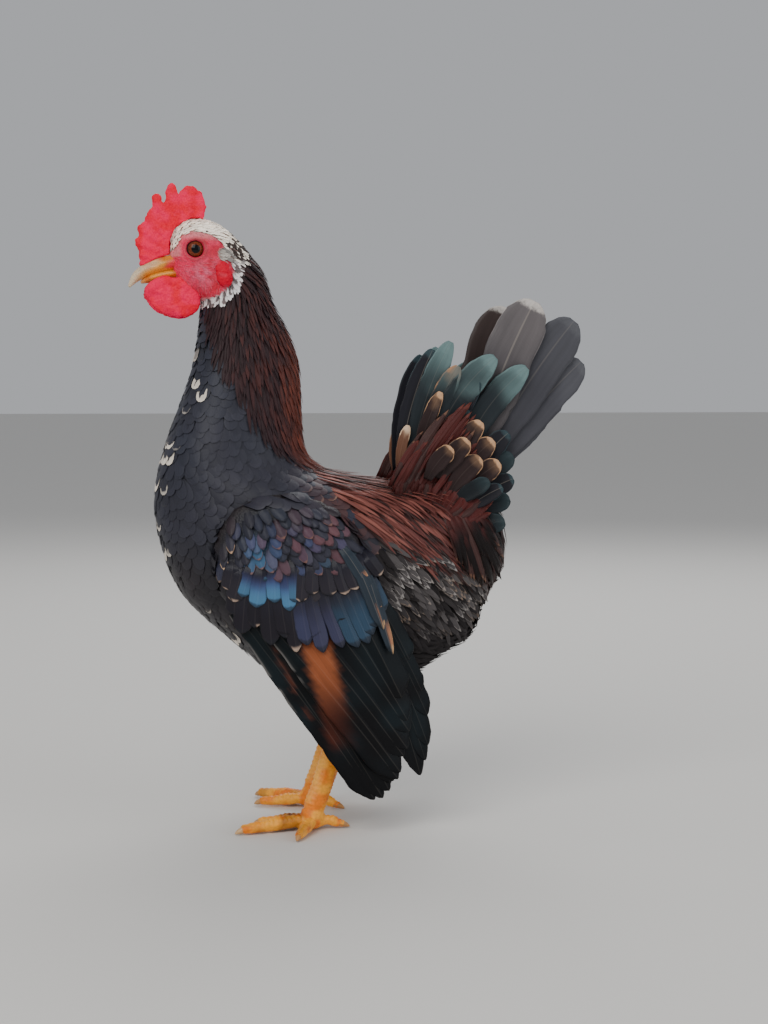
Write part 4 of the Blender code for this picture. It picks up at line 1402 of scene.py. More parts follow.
    @staticmethod
    def join(patch: CoatPatch, finish: Material, centres: Array, outs: Array, sides: Array,
             half: Array, roots: Array, luck: Array) -> Object:
        """Bend the region's template along every feather's own line and join them all.

        Args:
            patch: The region's facts.
            finish: The feathers' material.
            centres: Shaft points, feather by row by axis.
            outs: Outward directions there.
            sides: Width directions there.
            half: Half width of each feather.
            roots: Its root on the skin.
            luck: Its random number.

        Returns:
            The joined piece.
        """
        shape = patch.shape
        across, row, front, faces = shape.template()
        shares = np.array(shape.shares)[row]
        spots = len(across)
        wide = half[:, None] * np.array(shape.profile)[row][None, :]
        lift = (front - 0.5) * shape.thick * np.clip(1.15 - shares, 0.25, 1.0)
        arch = -shape.camber * across ** 2
        places = (centres[:, row] + sides[:, row] * (wide * across[None, :])[..., None]
                  + outs[:, row] * (lift[None, :] + arch[None, :] * wide)[..., None])
        vane = np.stack([(across + 1) / 2, shares], axis=1)
        maps = bake_places(roots)[:, None, :] + (vane - 0.5)[None, :, :] * PATCH_SIZE
        looks = [np.repeat(part, spots, axis=0) for part in region_colour(roots, luck)]
        mesh = feather_mesh(patch.name, places.reshape(-1, 3), faces, len(half),
                            np.tile(vane, (len(half), 1)), maps.reshape(-1, 2), looks)
        piece = add_piece(patch.name, mesh, finish, patch.slot)
        soft = outs[:, row] + sides[:, row] * (shape.roundness * across)[None, :, None]
        soft = np.where(front[None, :, None] > 0.5, soft, -outs[:, row]).reshape(-1, 3)
        mesh.normals_split_custom_set_from_vertices(unit_rows(soft).tolist())
        return piece


# Large feathers of the wings and the tail.

WING_LIFT = 1.2
WING_HANG = 88.0
WING_EDGE = (
    (-59.5, 108.0), (-57.0, 117.0), (-51.0, 125.0), (-41.0, 130.0), (-29.0, 131.0),
    (-17.0, 127.5), (-8.0, 121.0), (-2.0, 112.0), (2.0, 101.0), (4.0, 90.0),
    (0.0, 83.0), (-12.0, 79.0), (-24.0, 77.5), (-36.0, 78.5), (-47.0, 83.0),
    (-54.5, 91.0), (-58.5, 99.5),
)
ARM_CENTRE = (-27.0, 104.0)
ARM_REACH = 0.97
# Even steps across a vane and the places that they move to, closest beside the shaft.
ACROSS_STEPS = (
    (-1.0, -0.75, -0.5, -0.25, 0.0, 0.25, 0.5, 0.75, 1.0),
    (-1.0, -0.8, -0.5, -0.09, 0.0, 0.09, 0.5, 0.8, 1.0),
)


def wing_sheet(x: Array, z: Array) -> Array:
    """Give the distance of a wing's inner sheet from the middle plane."""
    half = np.maximum(trunk_half_width(x, np.clip(z, WING_HANG, 130.0)), 9.0)
    return half + WING_LIFT + 0.02 * np.maximum(WING_HANG - z, 0.0)


def arm_rise(x: Array, z: Array, outer: float = 1.0) -> Array:
    """Give the height of a wing's arm above its sheet, falling to the body along the upper edge.

    Args:
        x: Places along the bird.
        z: Heights.
        outer: 1 for the outer face, -1 for the inner one.

    Returns:
        Heights in millimetres.
    """
    table = np.array(WING_EDGE + WING_EDGE[:1]) - np.array(ARM_CENTRE)
    turns = np.unwrap(np.arctan2(table[:, 1], table[:, 0]))
    turn = np.arctan2(z - ARM_CENTRE[1], x - ARM_CENTRE[0])
    low = min(turns[0], turns[-1])
    turn = low + np.mod(turn - low, 2 * math.pi)
    order = np.argsort(turns)
    reach = np.interp(turn, turns[order], np.hypot(table[:, 0], table[:, 1])[order])
    share = np.clip(np.hypot(x - ARM_CENTRE[0], z - ARM_CENTRE[1]) / (ARM_REACH * reach), 0.0, 1.0)
    rim = 2.6 - 4.2 * smooth(84.0, 102.0, z)
    top = 4.4 if outer > 0 else 1.8
    return rim + (top - rim) * (1 - share ** 2.5) ** 0.45


def on_line(points: Sequence[Point], share: float) -> Array:
    """Give the point at a share of the way along a line of points."""
    table = np.array(points, dtype=float)
    spot = share * (len(table) - 1)
    return np.array([np.interp(spot, np.arange(len(table)), table[:, k]) for k in (0, 1)])


@dataclass(frozen=True)
class VaneSpots:
    """Places on one large feather, their shares along and across it, its random number and its tip."""

    x: Array
    z: Array
    along: Array
    across: Array
    luck: float
    end: Array

    def points(self, depth: float = 0.0) -> Array:
        """Give the places as rows at one depth."""
        return np.stack([self.x, np.full(len(self.x), depth), self.z], axis=1)

    def look(self, base: Array, edge: Array, width: float, gloss: float, shaft: float) -> Look:
        """Add the same edge width, gloss and shaft everywhere to the colours."""
        return base, edge, traits_of(len(self.x), width, gloss, shaft)


Depth = Callable[[Array, Array, Array, Array], Array]
Tint = Callable[[VaneSpots], Look]


@dataclass(frozen=True)
class Tier:
    """One row of a wing's large feathers.

    It holds the lines of roots and tips, the number of feathers and their half width, how far outside
    the sheet they lie at the root and over the rest, the rise of the front edge, the arc as a share of
    the length, how far the tips leave their line, and the width and start of the closing tip.
    """

    roots: Sequence[Point]
    tips: Sequence[Point]
    count: int
    half: float
    sink: Point
    tilt: float
    bow: float
    ragged: float = 0.6
    tip: float = 0.5
    blunt: float = 0.9


@dataclass
class Quills:
    """Large feathers of one side, each a thin closed vane with a raised shaft, in one joined mesh."""

    name: str
    side: float
    finish: Material
    rows: int = 22
    thick: float = 0.28
    per_line: int = 8
    margin: float = 0.06
    ridge: float = 0.16
    places: List[Array] = field(default_factory=list)
    vanes: List[Array] = field(default_factory=list)
    colours: List[Look] = field(default_factory=list)

    def lay(self, start: Array, end: Array, bow: float, half: float, depth: Depth, tint: Tint,
            root: float = 0.5, tip: float = 0.2, blunt: float = 0.8, curl_back: float = 0.045) -> None:
        """Lay one feather from its root to its tip in the side view.

        Args:
            start: Root, x and z.
            end: Tip, x and z.
            bow: Height of its arc as a share of its length.
            half: Half width of its blade.
            depth: Distance from the middle plane by x, z, share along and across.
            tint: Colours by the places on the feather.
            root: Width at the root as a share.
            tip: Width at the very tip as a share.
            blunt: Share of the length at which the tip starts to close.
            curl_back: How far the edges lag behind the shaft.
        """
        number = len(self.places)
        across, row, front, _ = self.template()
        share = 1 - (1 - row / self.rows) ** 1.25
        along = end - start
        length = float(np.hypot(*along))
        cross = np.array([-along[1], along[0]])
        swell = root + (1 - root) * np.minimum(share / 0.45, 1.0)
        closing = (np.clip(share - blunt, 0, 1) / (1 - blunt)) ** 2
        close = np.sqrt(np.clip(1 - closing * (1 - tip ** 2), 0, 1))
        key = np.full(len(share), number * 9.0)
        keys = np.stack([share * length / 1.6, key, np.sign(across) * 5.0], axis=1)
        wobble = 1 + 0.10 * (cells(keys, 1.0, 17) - 0.5) * np.abs(across)
        curl = share - curl_back * across ** 2 * smooth(0.3, 1.0, share) * (half / 5.0)
        ahead = along[None, :] + cross[None, :] * (bow * 4 * (1 - 2 * curl))[:, None]
        unit = ahead / np.linalg.norm(ahead, axis=1)[:, None]
        turn = np.stack([-unit[:, 1], unit[:, 0]], axis=1)
        flat = start + along * curl[:, None] + cross * (bow * 4 * curl * (1 - curl))[:, None]
        flat = flat + turn * (half * swell * close * wobble * across)[:, None]
        x, z = flat.T
        ridge = self.ridge * np.exp(-(across / 0.10) ** 2) * (1 - 0.6 * share)
        body = self.thick / 2 * np.clip(1.15 - share, 0.3, 1.0)
        out = depth(x, z, share, across) + np.where(front > 0.5, body + ridge, -body)
        self.places.append(np.stack([x, out * self.side, z], axis=1))
        self.vanes.append(np.stack([(across + 1) / 2, share], axis=1))
        luck = float(cells(np.array([[number * 3.7, 1.5, 2.5]]), 1.0, 23)[0])
        self.colours.append(tint(VaneSpots(x, z, share, across, luck, end)))

    def template(self) -> Tuple[Array, Array, Array, Array]:
        """Make the flat closed vane that each feather is shaped from."""
        shape = VaneShape(tuple(np.arange(self.rows + 1) / self.rows), (1.0,) * (self.rows + 1), columns=8)
        across, row, front, faces = shape.template()
        return np.interp(across, *ACROSS_STEPS), row, front, faces

    def tier(self, facts: Tier, tint: Tint) -> None:
        """Fan a row of feathers, each lying over the next one.

        Args:
            facts: The row's facts.
            tint: The feathers' colours.
        """
        for number in range(facts.count):
            share = number / (facts.count - 1)
            wide = facts.half * (0.94 + 0.12 * math.sin(number * 2.3))

            def depth(x: Array, z: Array, t: Array, across: Array, lift: float = number * 0.02) -> Array:
                """Give the distance from the middle plane."""
                root = np.minimum(facts.sink[0], arm_rise(x, z) - 0.6)
                out = root + (facts.sink[1] - root) * smooth(0.0, 0.4, t) + lift
                bend = facts.tilt * across * (0.35 + 0.65 * t) + 0.07 * facts.half * across ** 2
                return wing_sheet(x, z) + out - bend

            stray = np.array([math.sin(number * 5.1), 1.6 * math.cos(number * 3.3)]) * facts.ragged
            start, end = on_line(facts.roots, share), on_line(facts.tips, share) + stray
            bow = facts.bow * (1 - 0.6 * share)
            self.lay(start, end, bow, wide, depth, tint, tip=facts.tip, blunt=facts.blunt)

    def join(self, slot: str, nodes: Sequence[str]) -> Object:
        """Join all feathers into one piece.

        Args:
            slot: The record's slot.
            nodes: CAD nodes that the piece stands for.

        Returns:
            The piece.
        """
        faces = self.template()[3]
        if self.side > 0:
            faces = faces[:, ::-1]
        count, vane = len(self.places), np.concatenate(self.vanes)
        cell = 1.0 / np.array([self.per_line, math.ceil(count / self.per_line)])
        corner = np.array([[k % self.per_line, k // self.per_line] for k in range(count)]) * cell
        inner = (self.margin + (1 - 2 * self.margin) * vane) * cell
        patch = np.repeat(corner, len(vane) // count, axis=0) + inner
        looks = [np.concatenate(part) for part in zip(*self.colours)]
        mesh = feather_mesh(self.name, np.concatenate(self.places), faces, count, vane, patch, looks)
        return add_piece(self.name, mesh, self.finish, slot, nodes)


def within(x: Array, low: Array, high: Array, soft: float) -> Array:
    """Give 1 between two limits and 0 outside, with soft edges."""
    return smooth(low - soft, low + soft, x) * smooth(high + soft, high - soft, x)


def quill_tint(spots: VaneSpots) -> Look:
    """Colour flight feathers: black with a teal sheen, a chestnut panel and pale front edges."""
    x, z, luck, points = spots.x, spots.z, spots.luck, spots.points()
    teal = (0.25 + 0.7 * luck) * smooth(0.15, 0.85, cells(points, 9.0, 3)) * smooth(12.0, 45.0, z)
    base = blend(Hue.BLACK, Hue.TEAL_BLACK, teal) * (0.8 + 0.4 * luck)
    down = (71.0 - z) / 35.0
    left, right = -25.2 + 9.4 * down, -15.0 + 9.0 * down
    panel = smooth(left - 1.3, left + 1.3, x) * smooth(right + 1.6, right - 1.6, x)
    panel *= smooth(32.0, 38.0, z + 3.0 * (luck - 0.5)) * smooth(80.0, 74.0, z)
    panel *= 1 - 0.75 * smooth(0.3, 0.9, down) * smooth(-4.0, 4.0, x - (left + right) / 2)
    rust = blend(Hue.CHESTNUT, Hue.CHESTNUT_LOW, smooth(0.0, 0.8, down))
    base = blend(base, rust, panel * (0.8 + 0.2 * luck))
    shift = 9.6 * (72.0 - z) / 19.0
    streak = within(x, shift - 37.0, shift - 35.2, 0.5) * within(z, 46.0, 74.0, 2.0)
    base = blend(base, Hue.QUILL_STREAK, 0.6 * streak * smooth(0.25, 0.6, cells(points, 3.0, 8)))
    front = smooth(-24.0, -31.0, x + 0.25 * (60.0 - z)) * smooth(34.0, 44.0, z)
    pale = front * smooth(0.78, 0.95, -spots.across)
    pale *= smooth(0.42, 0.55, cells(points, 4.0, 9) + 0.3 * (luck - 0.5))
    edge = blend(blend(base, Hue.BLACK, 0.5), Hue.SILVER, 0.9 * pale)
    return spots.look(blend(base, Hue.SILVER, 0.6 * pale), edge, 0.10, 0.75, 0.05)


def covert_tint(spots: VaneSpots) -> Look:
    """Colour wing coverts: blue, purple and teal bars over slate, with buff flecks."""
    luck, share, points = spots.luck, spots.along, spots.points()
    ahead, height = spots.end
    tone, flecks = Hue.COVERT_DARK, 0.35
    if height > 97.0:
        tone = Hue.COVERT_BLUE if -48.0 < ahead < -38.0 else tone
        tone = blend(tone, Hue.COVERT_PURPLE, 0.8 * (luck > 0.6))
    elif height > 86.5:
        light = float(smooth(-50.5, -47.5, ahead) * smooth(-27.0, -30.0, ahead))
        tone = blend(Hue.BAR_DARK, blend(Hue.BAR_BLUE, Hue.BAR_BRIGHT, smooth(0.45, 0.85, share)), light)
        flecks = 0.7 * (1 - light)
    elif ahead > -9.5:
        tone = blend(Hue.REAR_BLUE, Hue.REAR_SLATE, luck)
    elif ahead > -28.0:
        tone = blend(Hue.MIDDLE_PURPLE, Hue.MIDDLE_DARK, luck)
    dark = Hue.COVERT * (0.85 + 0.3 * luck)
    tone = tone * (0.9 + 0.25 * luck)
    base = blend(dark, tone, 0.9 * smooth(0.3, 0.75, share + 0.1 * (cells(points, 3.0, 17) - 0.5)))
    tips = smooth(0.92, 0.98, share) * (cells(points, 2.2, 12) > 0.5) * (luck < flecks)
    edge = blend(blend(base, Hue.COVERT_RIM, 0.7), Hue.COVERT_FLECK, 0.85 * tips)
    return spots.look(base, edge, 0.13, 0.8, 0.03)


def tertial_tint(spots: VaneSpots) -> Look:
    """Colour the inmost feathers: slate blue with buff drops along the rear edge."""
    drop = smooth(0.7, 0.82, spots.along) * smooth(0.0, 0.5, spots.across)
    edge = blend(Hue.TERTIAL * 0.6, Hue.BUFF * 0.8, drop)
    return spots.look(blend(Hue.TERTIAL, Hue.TERTIAL_DROP, drop * 0.9), edge, 0.14, 0.6, 0.2)


QUILL_TIERS = (
    Tier(((-50.5, 86), (-34, 80), (-14, 86)),
         ((1.2, 15.6), (3.0, 14.6), (5.4, 15.6), (7.6, 18.0), (9.6, 21.0)),
         8, 5.4, (3.0, 1.6), 0.35, 0.0),
    Tier(((-40, 84), (-24, 84), (-8, 92)),
         ((10.6, 20.8), (12.4, 26.0), (13.8, 31.0), (14.6, 36.5), (14.6, 43.0), (12.6, 52.0)),
         7, 6.4, (3.6, 4.1), 0.35, 0.01),
    Tier(((-8, 88), (0, 95)),
         ((18.0, 23.6), (20.6, 22.8), (22.6, 26.5), (23.0, 34.0), (22.4, 44.0), (20.4, 55.0), (16.0, 66.0)),
         7, 3.9, (2.4, 2.6), 0.3, 0.03),
)
COVERT_TIERS = (
    Tier(((-50, 101), (-4, 105)), ((-51, 83), (-40, 77.0), (-28, 73.0), (-12, 72.0), (0, 74.5), (6, 85)),
         14, 3.5, (3.6, 4.8), 0.22, 0.0, 1.5, 0.4, 0.84),
    Tier(((-51, 107), (-4, 110)), ((-53, 93), (-46, 90.0), (-30, 88.0), (-24, 92.5), (-8, 93), (4.0, 99)),
         14, 3.3, (3.8, 5.5), 0.2, 0.0, 1.0, 0.4, 0.84),
)
TERTIAL_TIER = Tier(((-14, 114), (-6, 112)), ((-1.5, 94.0), (5.0, 80.0), (8.6, 68.6)),
                    3, 2.6, (4.0, 6.2), -0.3, 0.02, tip=0.3, blunt=0.75)


@dataclass
class Wing:
    """One wing: a feathered arm with quills and rows of coverts."""

    side: float
    quill_finish: Material
    covert_finish: Material
    columns: int = 120
    rings: int = 22

    def arm(self) -> Object:
        """Make the arm under the coverts."""
        count = len(WING_EDGE)
        table = np.array(WING_EDGE + WING_EDGE[:1])
        shape, places = sphere_rings(self.columns, self.rings)
        centre = np.array(ARM_CENTRE)
        turns = np.array([turn / (2 * math.pi) % 1.0 for _, _, turn in places]) * count
        polar = np.array([ring for _, ring, _ in places]) / (self.rings + 1) * math.pi
        edge = np.stack([np.interp(turns, np.arange(count + 1), table[:, k]) for k in (0, 1)], axis=1)
        flat = centre + (edge - centre) * (ARM_REACH * np.sin(polar) ** 0.8)[:, None]
        x, z = flat.T
        depth = wing_sheet(x, z) + np.where(polar > math.pi / 2, arm_rise(x, z), arm_rise(x, z, -1.0))
        for (vertex, _, _), spot, out in zip(places, flat, depth):
            vertex.co = Vector((spot[0], self.side * out, spot[1]))
        word = word_of(self.side)
        mesh = mesh_of(shape, f"wing_arm_{word}")
        points = design_points(mesh)
        # The bow's colours halved: painted shade under the coverts.
        attribute(mesh, "skin_tone", bow_look(points, np.full(len(points), 0.3))[0] * 0.5)
        finish = SkinFinish("under_coverts", subsurface=0.0).build()
        return add_piece(mesh.name, mesh, finish, "flight_plumage", (f"wing_{word}",))

    def build(self) -> None:
        """Make the wing's quills and coverts."""
        word = word_of(self.side)
        quills = Quills(f"wing_quills_{word}", self.side, self.quill_finish, rows=34)
        for facts in QUILL_TIERS:
            quills.tier(facts, quill_tint)
        quills.join("flight_plumage", (f"wing_{word}",))
        coverts = Quills(f"wing_coverts_{word}", self.side, self.covert_finish, rows=16, per_line=10)
        for facts in COVERT_TIERS:
            coverts.tier(facts, covert_tint)
        coverts.tier(TERTIAL_TIER, tertial_tint)
        coverts.join("flight_plumage", (f"wing_{word}",))


class Kind(Enum):
    """Kinds of tail feather: dark and light display colour, edge width and shaft."""

    SLATE = ((70, 70, 76), (92, 93, 98), 0.08, 0.12)
    GREY = ((86, 82, 84), (128, 122, 122), 0.06, 0.28)
    TEAL = ((38, 44, 48), (110, 136, 136), 0.2, 0.08)
    RUMP = ((30, 34, 38), (46, 60, 64), 0.2, 0.0)
    TAN = ((40, 44, 48), (178, 132, 96), 0.2, 0.1)
    DARK = ((34, 34, 40), (60, 84, 90), 0.12, 0.3)
    BUFF = ((50, 38, 38), (206, 162, 124), 0.14, 0.05)
    ORANGE = ((120, 84, 66), (232, 200, 168), 0.3, 0.1)
    RUST = ((80, 36, 34), (126, 70, 60), 0.14, 0.1)
    BROWN = ((66, 44, 42), (150, 110, 88), 0.10, 0.1)
    UMBER = ((22, 16, 16), (44, 30, 28), 0.14, 0.0)


# Tail feathers of one side: root, tip, half width, layer, arc and kind, the main feathers first.
MAIN_FEATHERS = 4
TAIL_ROWS = (
    ((52.0, 134.0), (82.0, 169.0), 6.4, 1.6, 0.03, Kind.SLATE),
    ((52.0, 136.0), (90.0, 180.0), 7.4, 3.0, 0.03, Kind.SLATE),
    ((49.0, 138.0), (86.5, 196.0), 9.0, 4.4, 0.03, Kind.SLATE),
    ((45.0, 139.0), (70.0, 203.5), 9.8, 5.8, 0.03, Kind.GREY),
    ((40.0, 139.0), (66.6, 177.5), 5.4, 7.2, 0.08, Kind.TEAL),
    ((28.0, 140.0), (53.6, 181.5), 5.6, 8.4, 0.09, Kind.TEAL),
    ((25.0, 140.0), (39.0, 178.0), 4.2, 7.4, 0.05, Kind.TAN),
    ((21.0, 139.0), (36.4, 187.5), 4.4, 6.0, 0.05, Kind.TEAL),
    ((17.0, 137.0), (29.5, 184.5), 4.0, 4.6, 0.05, Kind.DARK),
    ((34.0, 140.0), (47.0, 172.0), 3.6, 8.0, 0.06, Kind.DARK),
    ((16.0, 137.0), (19.6, 155.0), 2.0, 5.4, 0.04, Kind.ORANGE),
    ((23.0, 138.0), (32.0, 168.0), 2.8, 7.8, 0.05, Kind.BUFF),
    ((43.0, 131.0), (59.0, 152.0), 4.4, 8.0, 0.06, Kind.DARK),
    ((45.0, 129.0), (61.0, 143.0), 4.4, 8.0, 0.06, Kind.RUMP),
    ((45.0, 125.0), (61.0, 134.0), 4.0, 8.4, 0.04, Kind.DARK),
    ((44.0, 121.0), (59.5, 126.0), 4.0, 8.8, 0.02, Kind.RUMP),
    ((43.0, 117.0), (57.5, 117.0), 3.8, 9.2, -0.03, Kind.RUMP),
    ((33.0, 138.0), (42.5, 161.0), 3.0, 9.4, 0.06, Kind.DARK),
    ((36.0, 136.0), (47.5, 156.5), 4.0, 10.2, 0.06, Kind.BUFF),
    ((39.0, 133.0), (52.4, 149.2), 4.2, 10.4, 0.06, Kind.BUFF),
    ((31.0, 134.0), (41.5, 149.5), 4.0, 13.6, 0.06, Kind.BUFF),
    ((26.0, 134.0), (35.0, 146.5), 3.6, 13.8, 0.06, Kind.BUFF),
    ((35.0, 129.0), (46.5, 142.5), 4.2, 13.2, 0.06, Kind.BUFF),
    ((39.0, 127.0), (54.5, 140.5), 4.2, 12.0, 0.05, Kind.BUFF),
    ((36.0, 124.0), (50.0, 133.5), 3.3, 13.4, 0.04, Kind.RUMP),
    ((40.0, 121.0), (55.5, 131.0), 3.3, 12.4, 0.04, Kind.DARK),
)
FAR_SIDE_TURN = (-8.0, -2.0)
FAR_SIDE_SHARE = 0.3


def tail_tint(kind: Kind, far: bool) -> Tint:
    """Give the colouring of one kind of tail feather.

    Args:
        kind: The kind.
        far: Whether it is on the right side.

    Returns:
        The colouring.
    """
    dark, light, width, shaft = kind.value

    def tint(spots: VaneSpots) -> Look:
        """Colour the vane from root to tip."""
        luck, t, points = spots.luck, spots.along, spots.points(spots.luck * 90.0)
        base = np.tile(shade(*dark), (len(t), 1))
        tip = shade(*light)
        share = smooth(0.55, 0.95, t + 0.2 * (cells(points, 6.0, 4) - 0.5))
        if kind in (Kind.TEAL, Kind.RUMP):
            base = blend(base, tip, 0.75 * share)
        if kind in (Kind.SLATE, Kind.GREY):
            base = blend(base, tip, 0.35 * share)
        # Far side's grey feather darkened and browned: painted shade, with the underside's browner tone.
        if kind is Kind.GREY and far:
            base = blend(base, Hue.FAR_TAIL_SHADE, 0.8)
            tip = tip * 0.5
        if kind is Kind.TAN:
            base = blend(base, Hue.TAIL_TEAL, 0.8 * share)
        if kind is Kind.UMBER:
            base = blend(Hue.SADDLE, base, smooth(0.15, 0.6, t + 0.3 * (luck - 0.5)))
        if kind is Kind.GREY:
            edge = blend(tip, Hue.TAIL_SILVER, smooth(0.9, 0.97, t))
        elif kind in (Kind.TAN, Kind.BUFF, Kind.ORANGE):
            drop = smooth(0.74, 0.9, t + 0.12 * (cells(points, 2.0, 6) - 0.5) - 0.12 * spots.across ** 2)
            base = blend(base, tip, (0.85 if kind is Kind.ORANGE else 0.2) * drop)
            rim = smooth(0.62, 0.8, t) * np.where(cells(points, 3.0, 2) > 0.35, 1.0, 0.3)
            if kind is Kind.TAN:
                rim *= 0.9 * smooth(0.3, 0.8, spots.across)
            edge = blend(base, tip, rim)
        else:
            edge = blend(base, tip, 0.55 * smooth(0.5, 0.9, t))
        if far and kind is Kind.SLATE:
            edge = blend(edge, Hue.FAR_RUST, smooth(0.8, 0.95, t))
        return spots.look(base * (0.85 + 0.3 * luck), edge, width, 0.6, shaft)

    return tint


@dataclass(frozen=True)
class Spray:
    """Narrow feathers fanned from a line of roots on the back to a line of tips.

    It holds their number, both lines, the common and the rare kind, and the least distance from the
    middle plane past the roots.
    """

    name: str
    count: int
    starts: Sequence[Point]
    tips: Sequence[Point]
    kinds: Tuple[Kind, Kind]
    least: float

    def build(self, side: float, finish: Material) -> None:
        """Fan the feathers of one side.

        Args:
            side: -1 for left, 1 for right.
            finish: Their material.
        """
        spray = Quills(f"{self.name}_{word_of(side)}", side, finish, rows=8, thick=0.16, per_line=12)
        keys = np.zeros((self.count * 3, 3))
        keys[:, 0] = np.arange(self.count * 3) * 7.3
        chances = cells(keys, 1.0, 71).reshape(3, self.count).T
        for number, (luck, stray, deep) in enumerate(chances):
            share = number / (self.count - 1)
            start, tip = on_line(self.starts, share), on_line(self.tips, share)
            uneven = cells(np.array([[number * 2.9, 0.0, 4.0]]), 1.0, 19)[0] - 0.4
            start = start + (start - tip) * 0.22 * uneven
            end = start + (tip - start) * (0.55 + 0.47 * luck) + np.array([3.0, -2.0]) * (stray - 0.5)
            layer = self.least + 2.4 * deep

            def depth(x: Array, z: Array, t: Array, across: Array, layer: float = layer) -> Array:
                """Give the distance from the middle plane."""
                body = np.maximum(trunk_half_width(x, np.clip(z, 86.0, 130.0)), 5.0)
                rise = np.maximum(layer - body + 1.5, 1.0 + layer - self.least) * smooth(0.0, 0.5, t)
                return body - 1.5 + rise - 0.3 * across ** 2

            kind = self.kinds[0] if stray > 0.3 else self.kinds[1]
            spray.lay(start, end, 0.05 - 0.06 * share, 1.0 + 0.5 * luck, depth, tail_tint(kind, False),
                      root=0.6, tip=0.05, blunt=0.45, curl_back=0.0)
        spray.join("flight_plumage", ("tail",))


SPRAYS = (
    Spray("tail_spray", 96, ((11, 133), (20, 129), (30, 123), (38, 116)),
          ((22, 150), (32, 158), (45.5, 167.5), (46, 157), (48, 145), (52, 133), (54, 122)),
          (Kind.RUST, Kind.BROWN), 10.6),
    Spray("rump_spray", 84, ((30, 122), (38, 124), (46, 122)),
          ((38, 99), (46, 93), (54, 90), (58.5, 97), (59, 106)), (Kind.UMBER, Kind.BROWN), 6.0),
)


@dataclass
class Tail:
    """Upright tail: main feathers, short sickles and coverts on both sides."""

    finish: Material

    def build(self) -> None:
        """Make both sides of the tail."""
        for side in (-1.0, 1.0):
            name = f"tail_quills_{word_of(side)}"
            quills = Quills(name, side, self.finish, rows=26, thick=0.34, per_line=5)
            for number, (root, tip, half, layer, bow, kind) in enumerate(TAIL_ROWS):
                main, end = number < MAIN_FEATHERS, np.array(tip)
                if side > 0:
                    ahead, down = FAR_SIDE_TURN
                    end = end + np.array([ahead * (1 if main else FAR_SIDE_SHARE), down])

                def depth(x: Array, z: Array, t: Array, across: Array, layer: float = layer) -> Array:
                    """Give the distance from the middle plane."""
                    return layer * (0.86 + 0.30 * t) - 0.45 * across + 0.24 * across ** 2

                quills.lay(np.array(root), end, bow, half, depth, tail_tint(kind, side > 0),
                           root=0.42, tip=0.22, blunt=0.80 if main else 0.72, curl_back=0.0)
            quills.join("flight_plumage", ("tail",))
            for spray in SPRAYS:
                spray.build(side, self.finish)


# Comb, wattles, beak, eyes and legs.

Relief = Callable[[Array, Array], Array]


@dataclass(frozen=True)
class FleshPiece:
    """A fleshy piece shaped from its CAD nodes: finer, softened and beaded."""

    name: str
    nodes: Tuple[str, ...]
    slot: str
    voxel: float = 0.38
    soften: int = 6
    swell: float = 0.12
    beads: float = 0.45
    bead_size: float = 0.9

    def refine(self) -> Mesh:
        """Merge the nodes' shapes, make them finer and soften them.

        Returns:
            The mesh, placed.
        """
        shape = bmesh.new()
        for node in self.nodes:
            shape.from_mesh(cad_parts[node].data)
        thing = put_in(self.name + "_form", poured(shape, self.name))
        fine = thing.modifiers.new("fine", 'REMESH')
        fine.mode = 'VOXEL'
        fine.voxel_size = self.voxel * MM
        soft = thing.modifiers.new("soft", 'SMOOTH')
        soft.factor = 0.5
        soft.iterations = self.soften
        made = bpy.data.meshes.new_from_object(thing.evaluated_get(bpy.context.evaluated_depsgraph_get()))
        bpy.data.objects.remove(thing, do_unlink=True)
        return made

    def build(self, tint: Relief, relief: Relief, finish: Material) -> Object:
        """Make the piece.

        Args:
            tint: Colours by place and normal.
            relief: Extra height by place and normal.
            finish: The material.

        Returns:
            The piece.
        """
        mesh = self.refine()
        points = design_points(mesh)
        normals = np.array([v.normal for v in mesh.vertices])
        bead = (cells(points, self.bead_size, 31) - 0.5) * self.beads
        height = self.swell + bead + relief(points, normals)
        attribute(mesh, "skin_tone", tint(points, normals))
        mesh.vertices.foreach_set("co", to_metres(points + normals * height[:, None]).ravel())
        mesh.update()
        mesh.name = self.name
        return add_piece(self.name, mesh, finish, self.slot, self.nodes)


def no_relief(points: Array, normals: Array) -> Array:
    """Give no extra height."""
    return np.zeros(len(points))


def comb_tint(points: Array, normals: Array) -> Array:
    """Colour comb and wattles: bright red with deeper patches and a few lighter mottles."""
    red = blend(Hue.COMB, Hue.COMB_DEEP, smooth(0.3, 0.75, cells(points, 3.5, 41)))
    return blend(red, Hue.COMB_LIGHT, 0.2 * smooth(0.55, 0.85, cells(points, 1.4, 42)))


def lobe_tint(points: Array, normals: Array) -> Array:
    """Colour the ear lobes: red with a pale bloom."""
    return blend(Hue.LOBE, Hue.LOBE_BLOOM, 0.25 * smooth(0.6, 0.9, cells(points, 2.0, 43)))


COMB_ROOT = (-66.0, 216.0)


def comb_relief(points: Array, normals: Array) -> Array:
    """Raise folds that run up the comb into its points."""
    ahead, above = points[:, 0] - COMB_ROOT[0], points[:, 2] - COMB_ROOT[1]
    side = np.abs(normals[:, 1])
    wave = np.sin(np.arctan2(above, ahead) * 26.0 + 1.5 * cells(points, 5.0, 44))
    fold = 0.36 * wave * smooth(10.0, 16.0, np.hypot(ahead, above)) * side
    base = 1.3 * smooth(-0.2, -0.8, normals[:, 2]) * smooth(222.0, 216.0, points[:, 2])
    return fold + base + 1.8 * (1 - side) ** 2 * (cells(points, 2.0, 45) - 0.5)


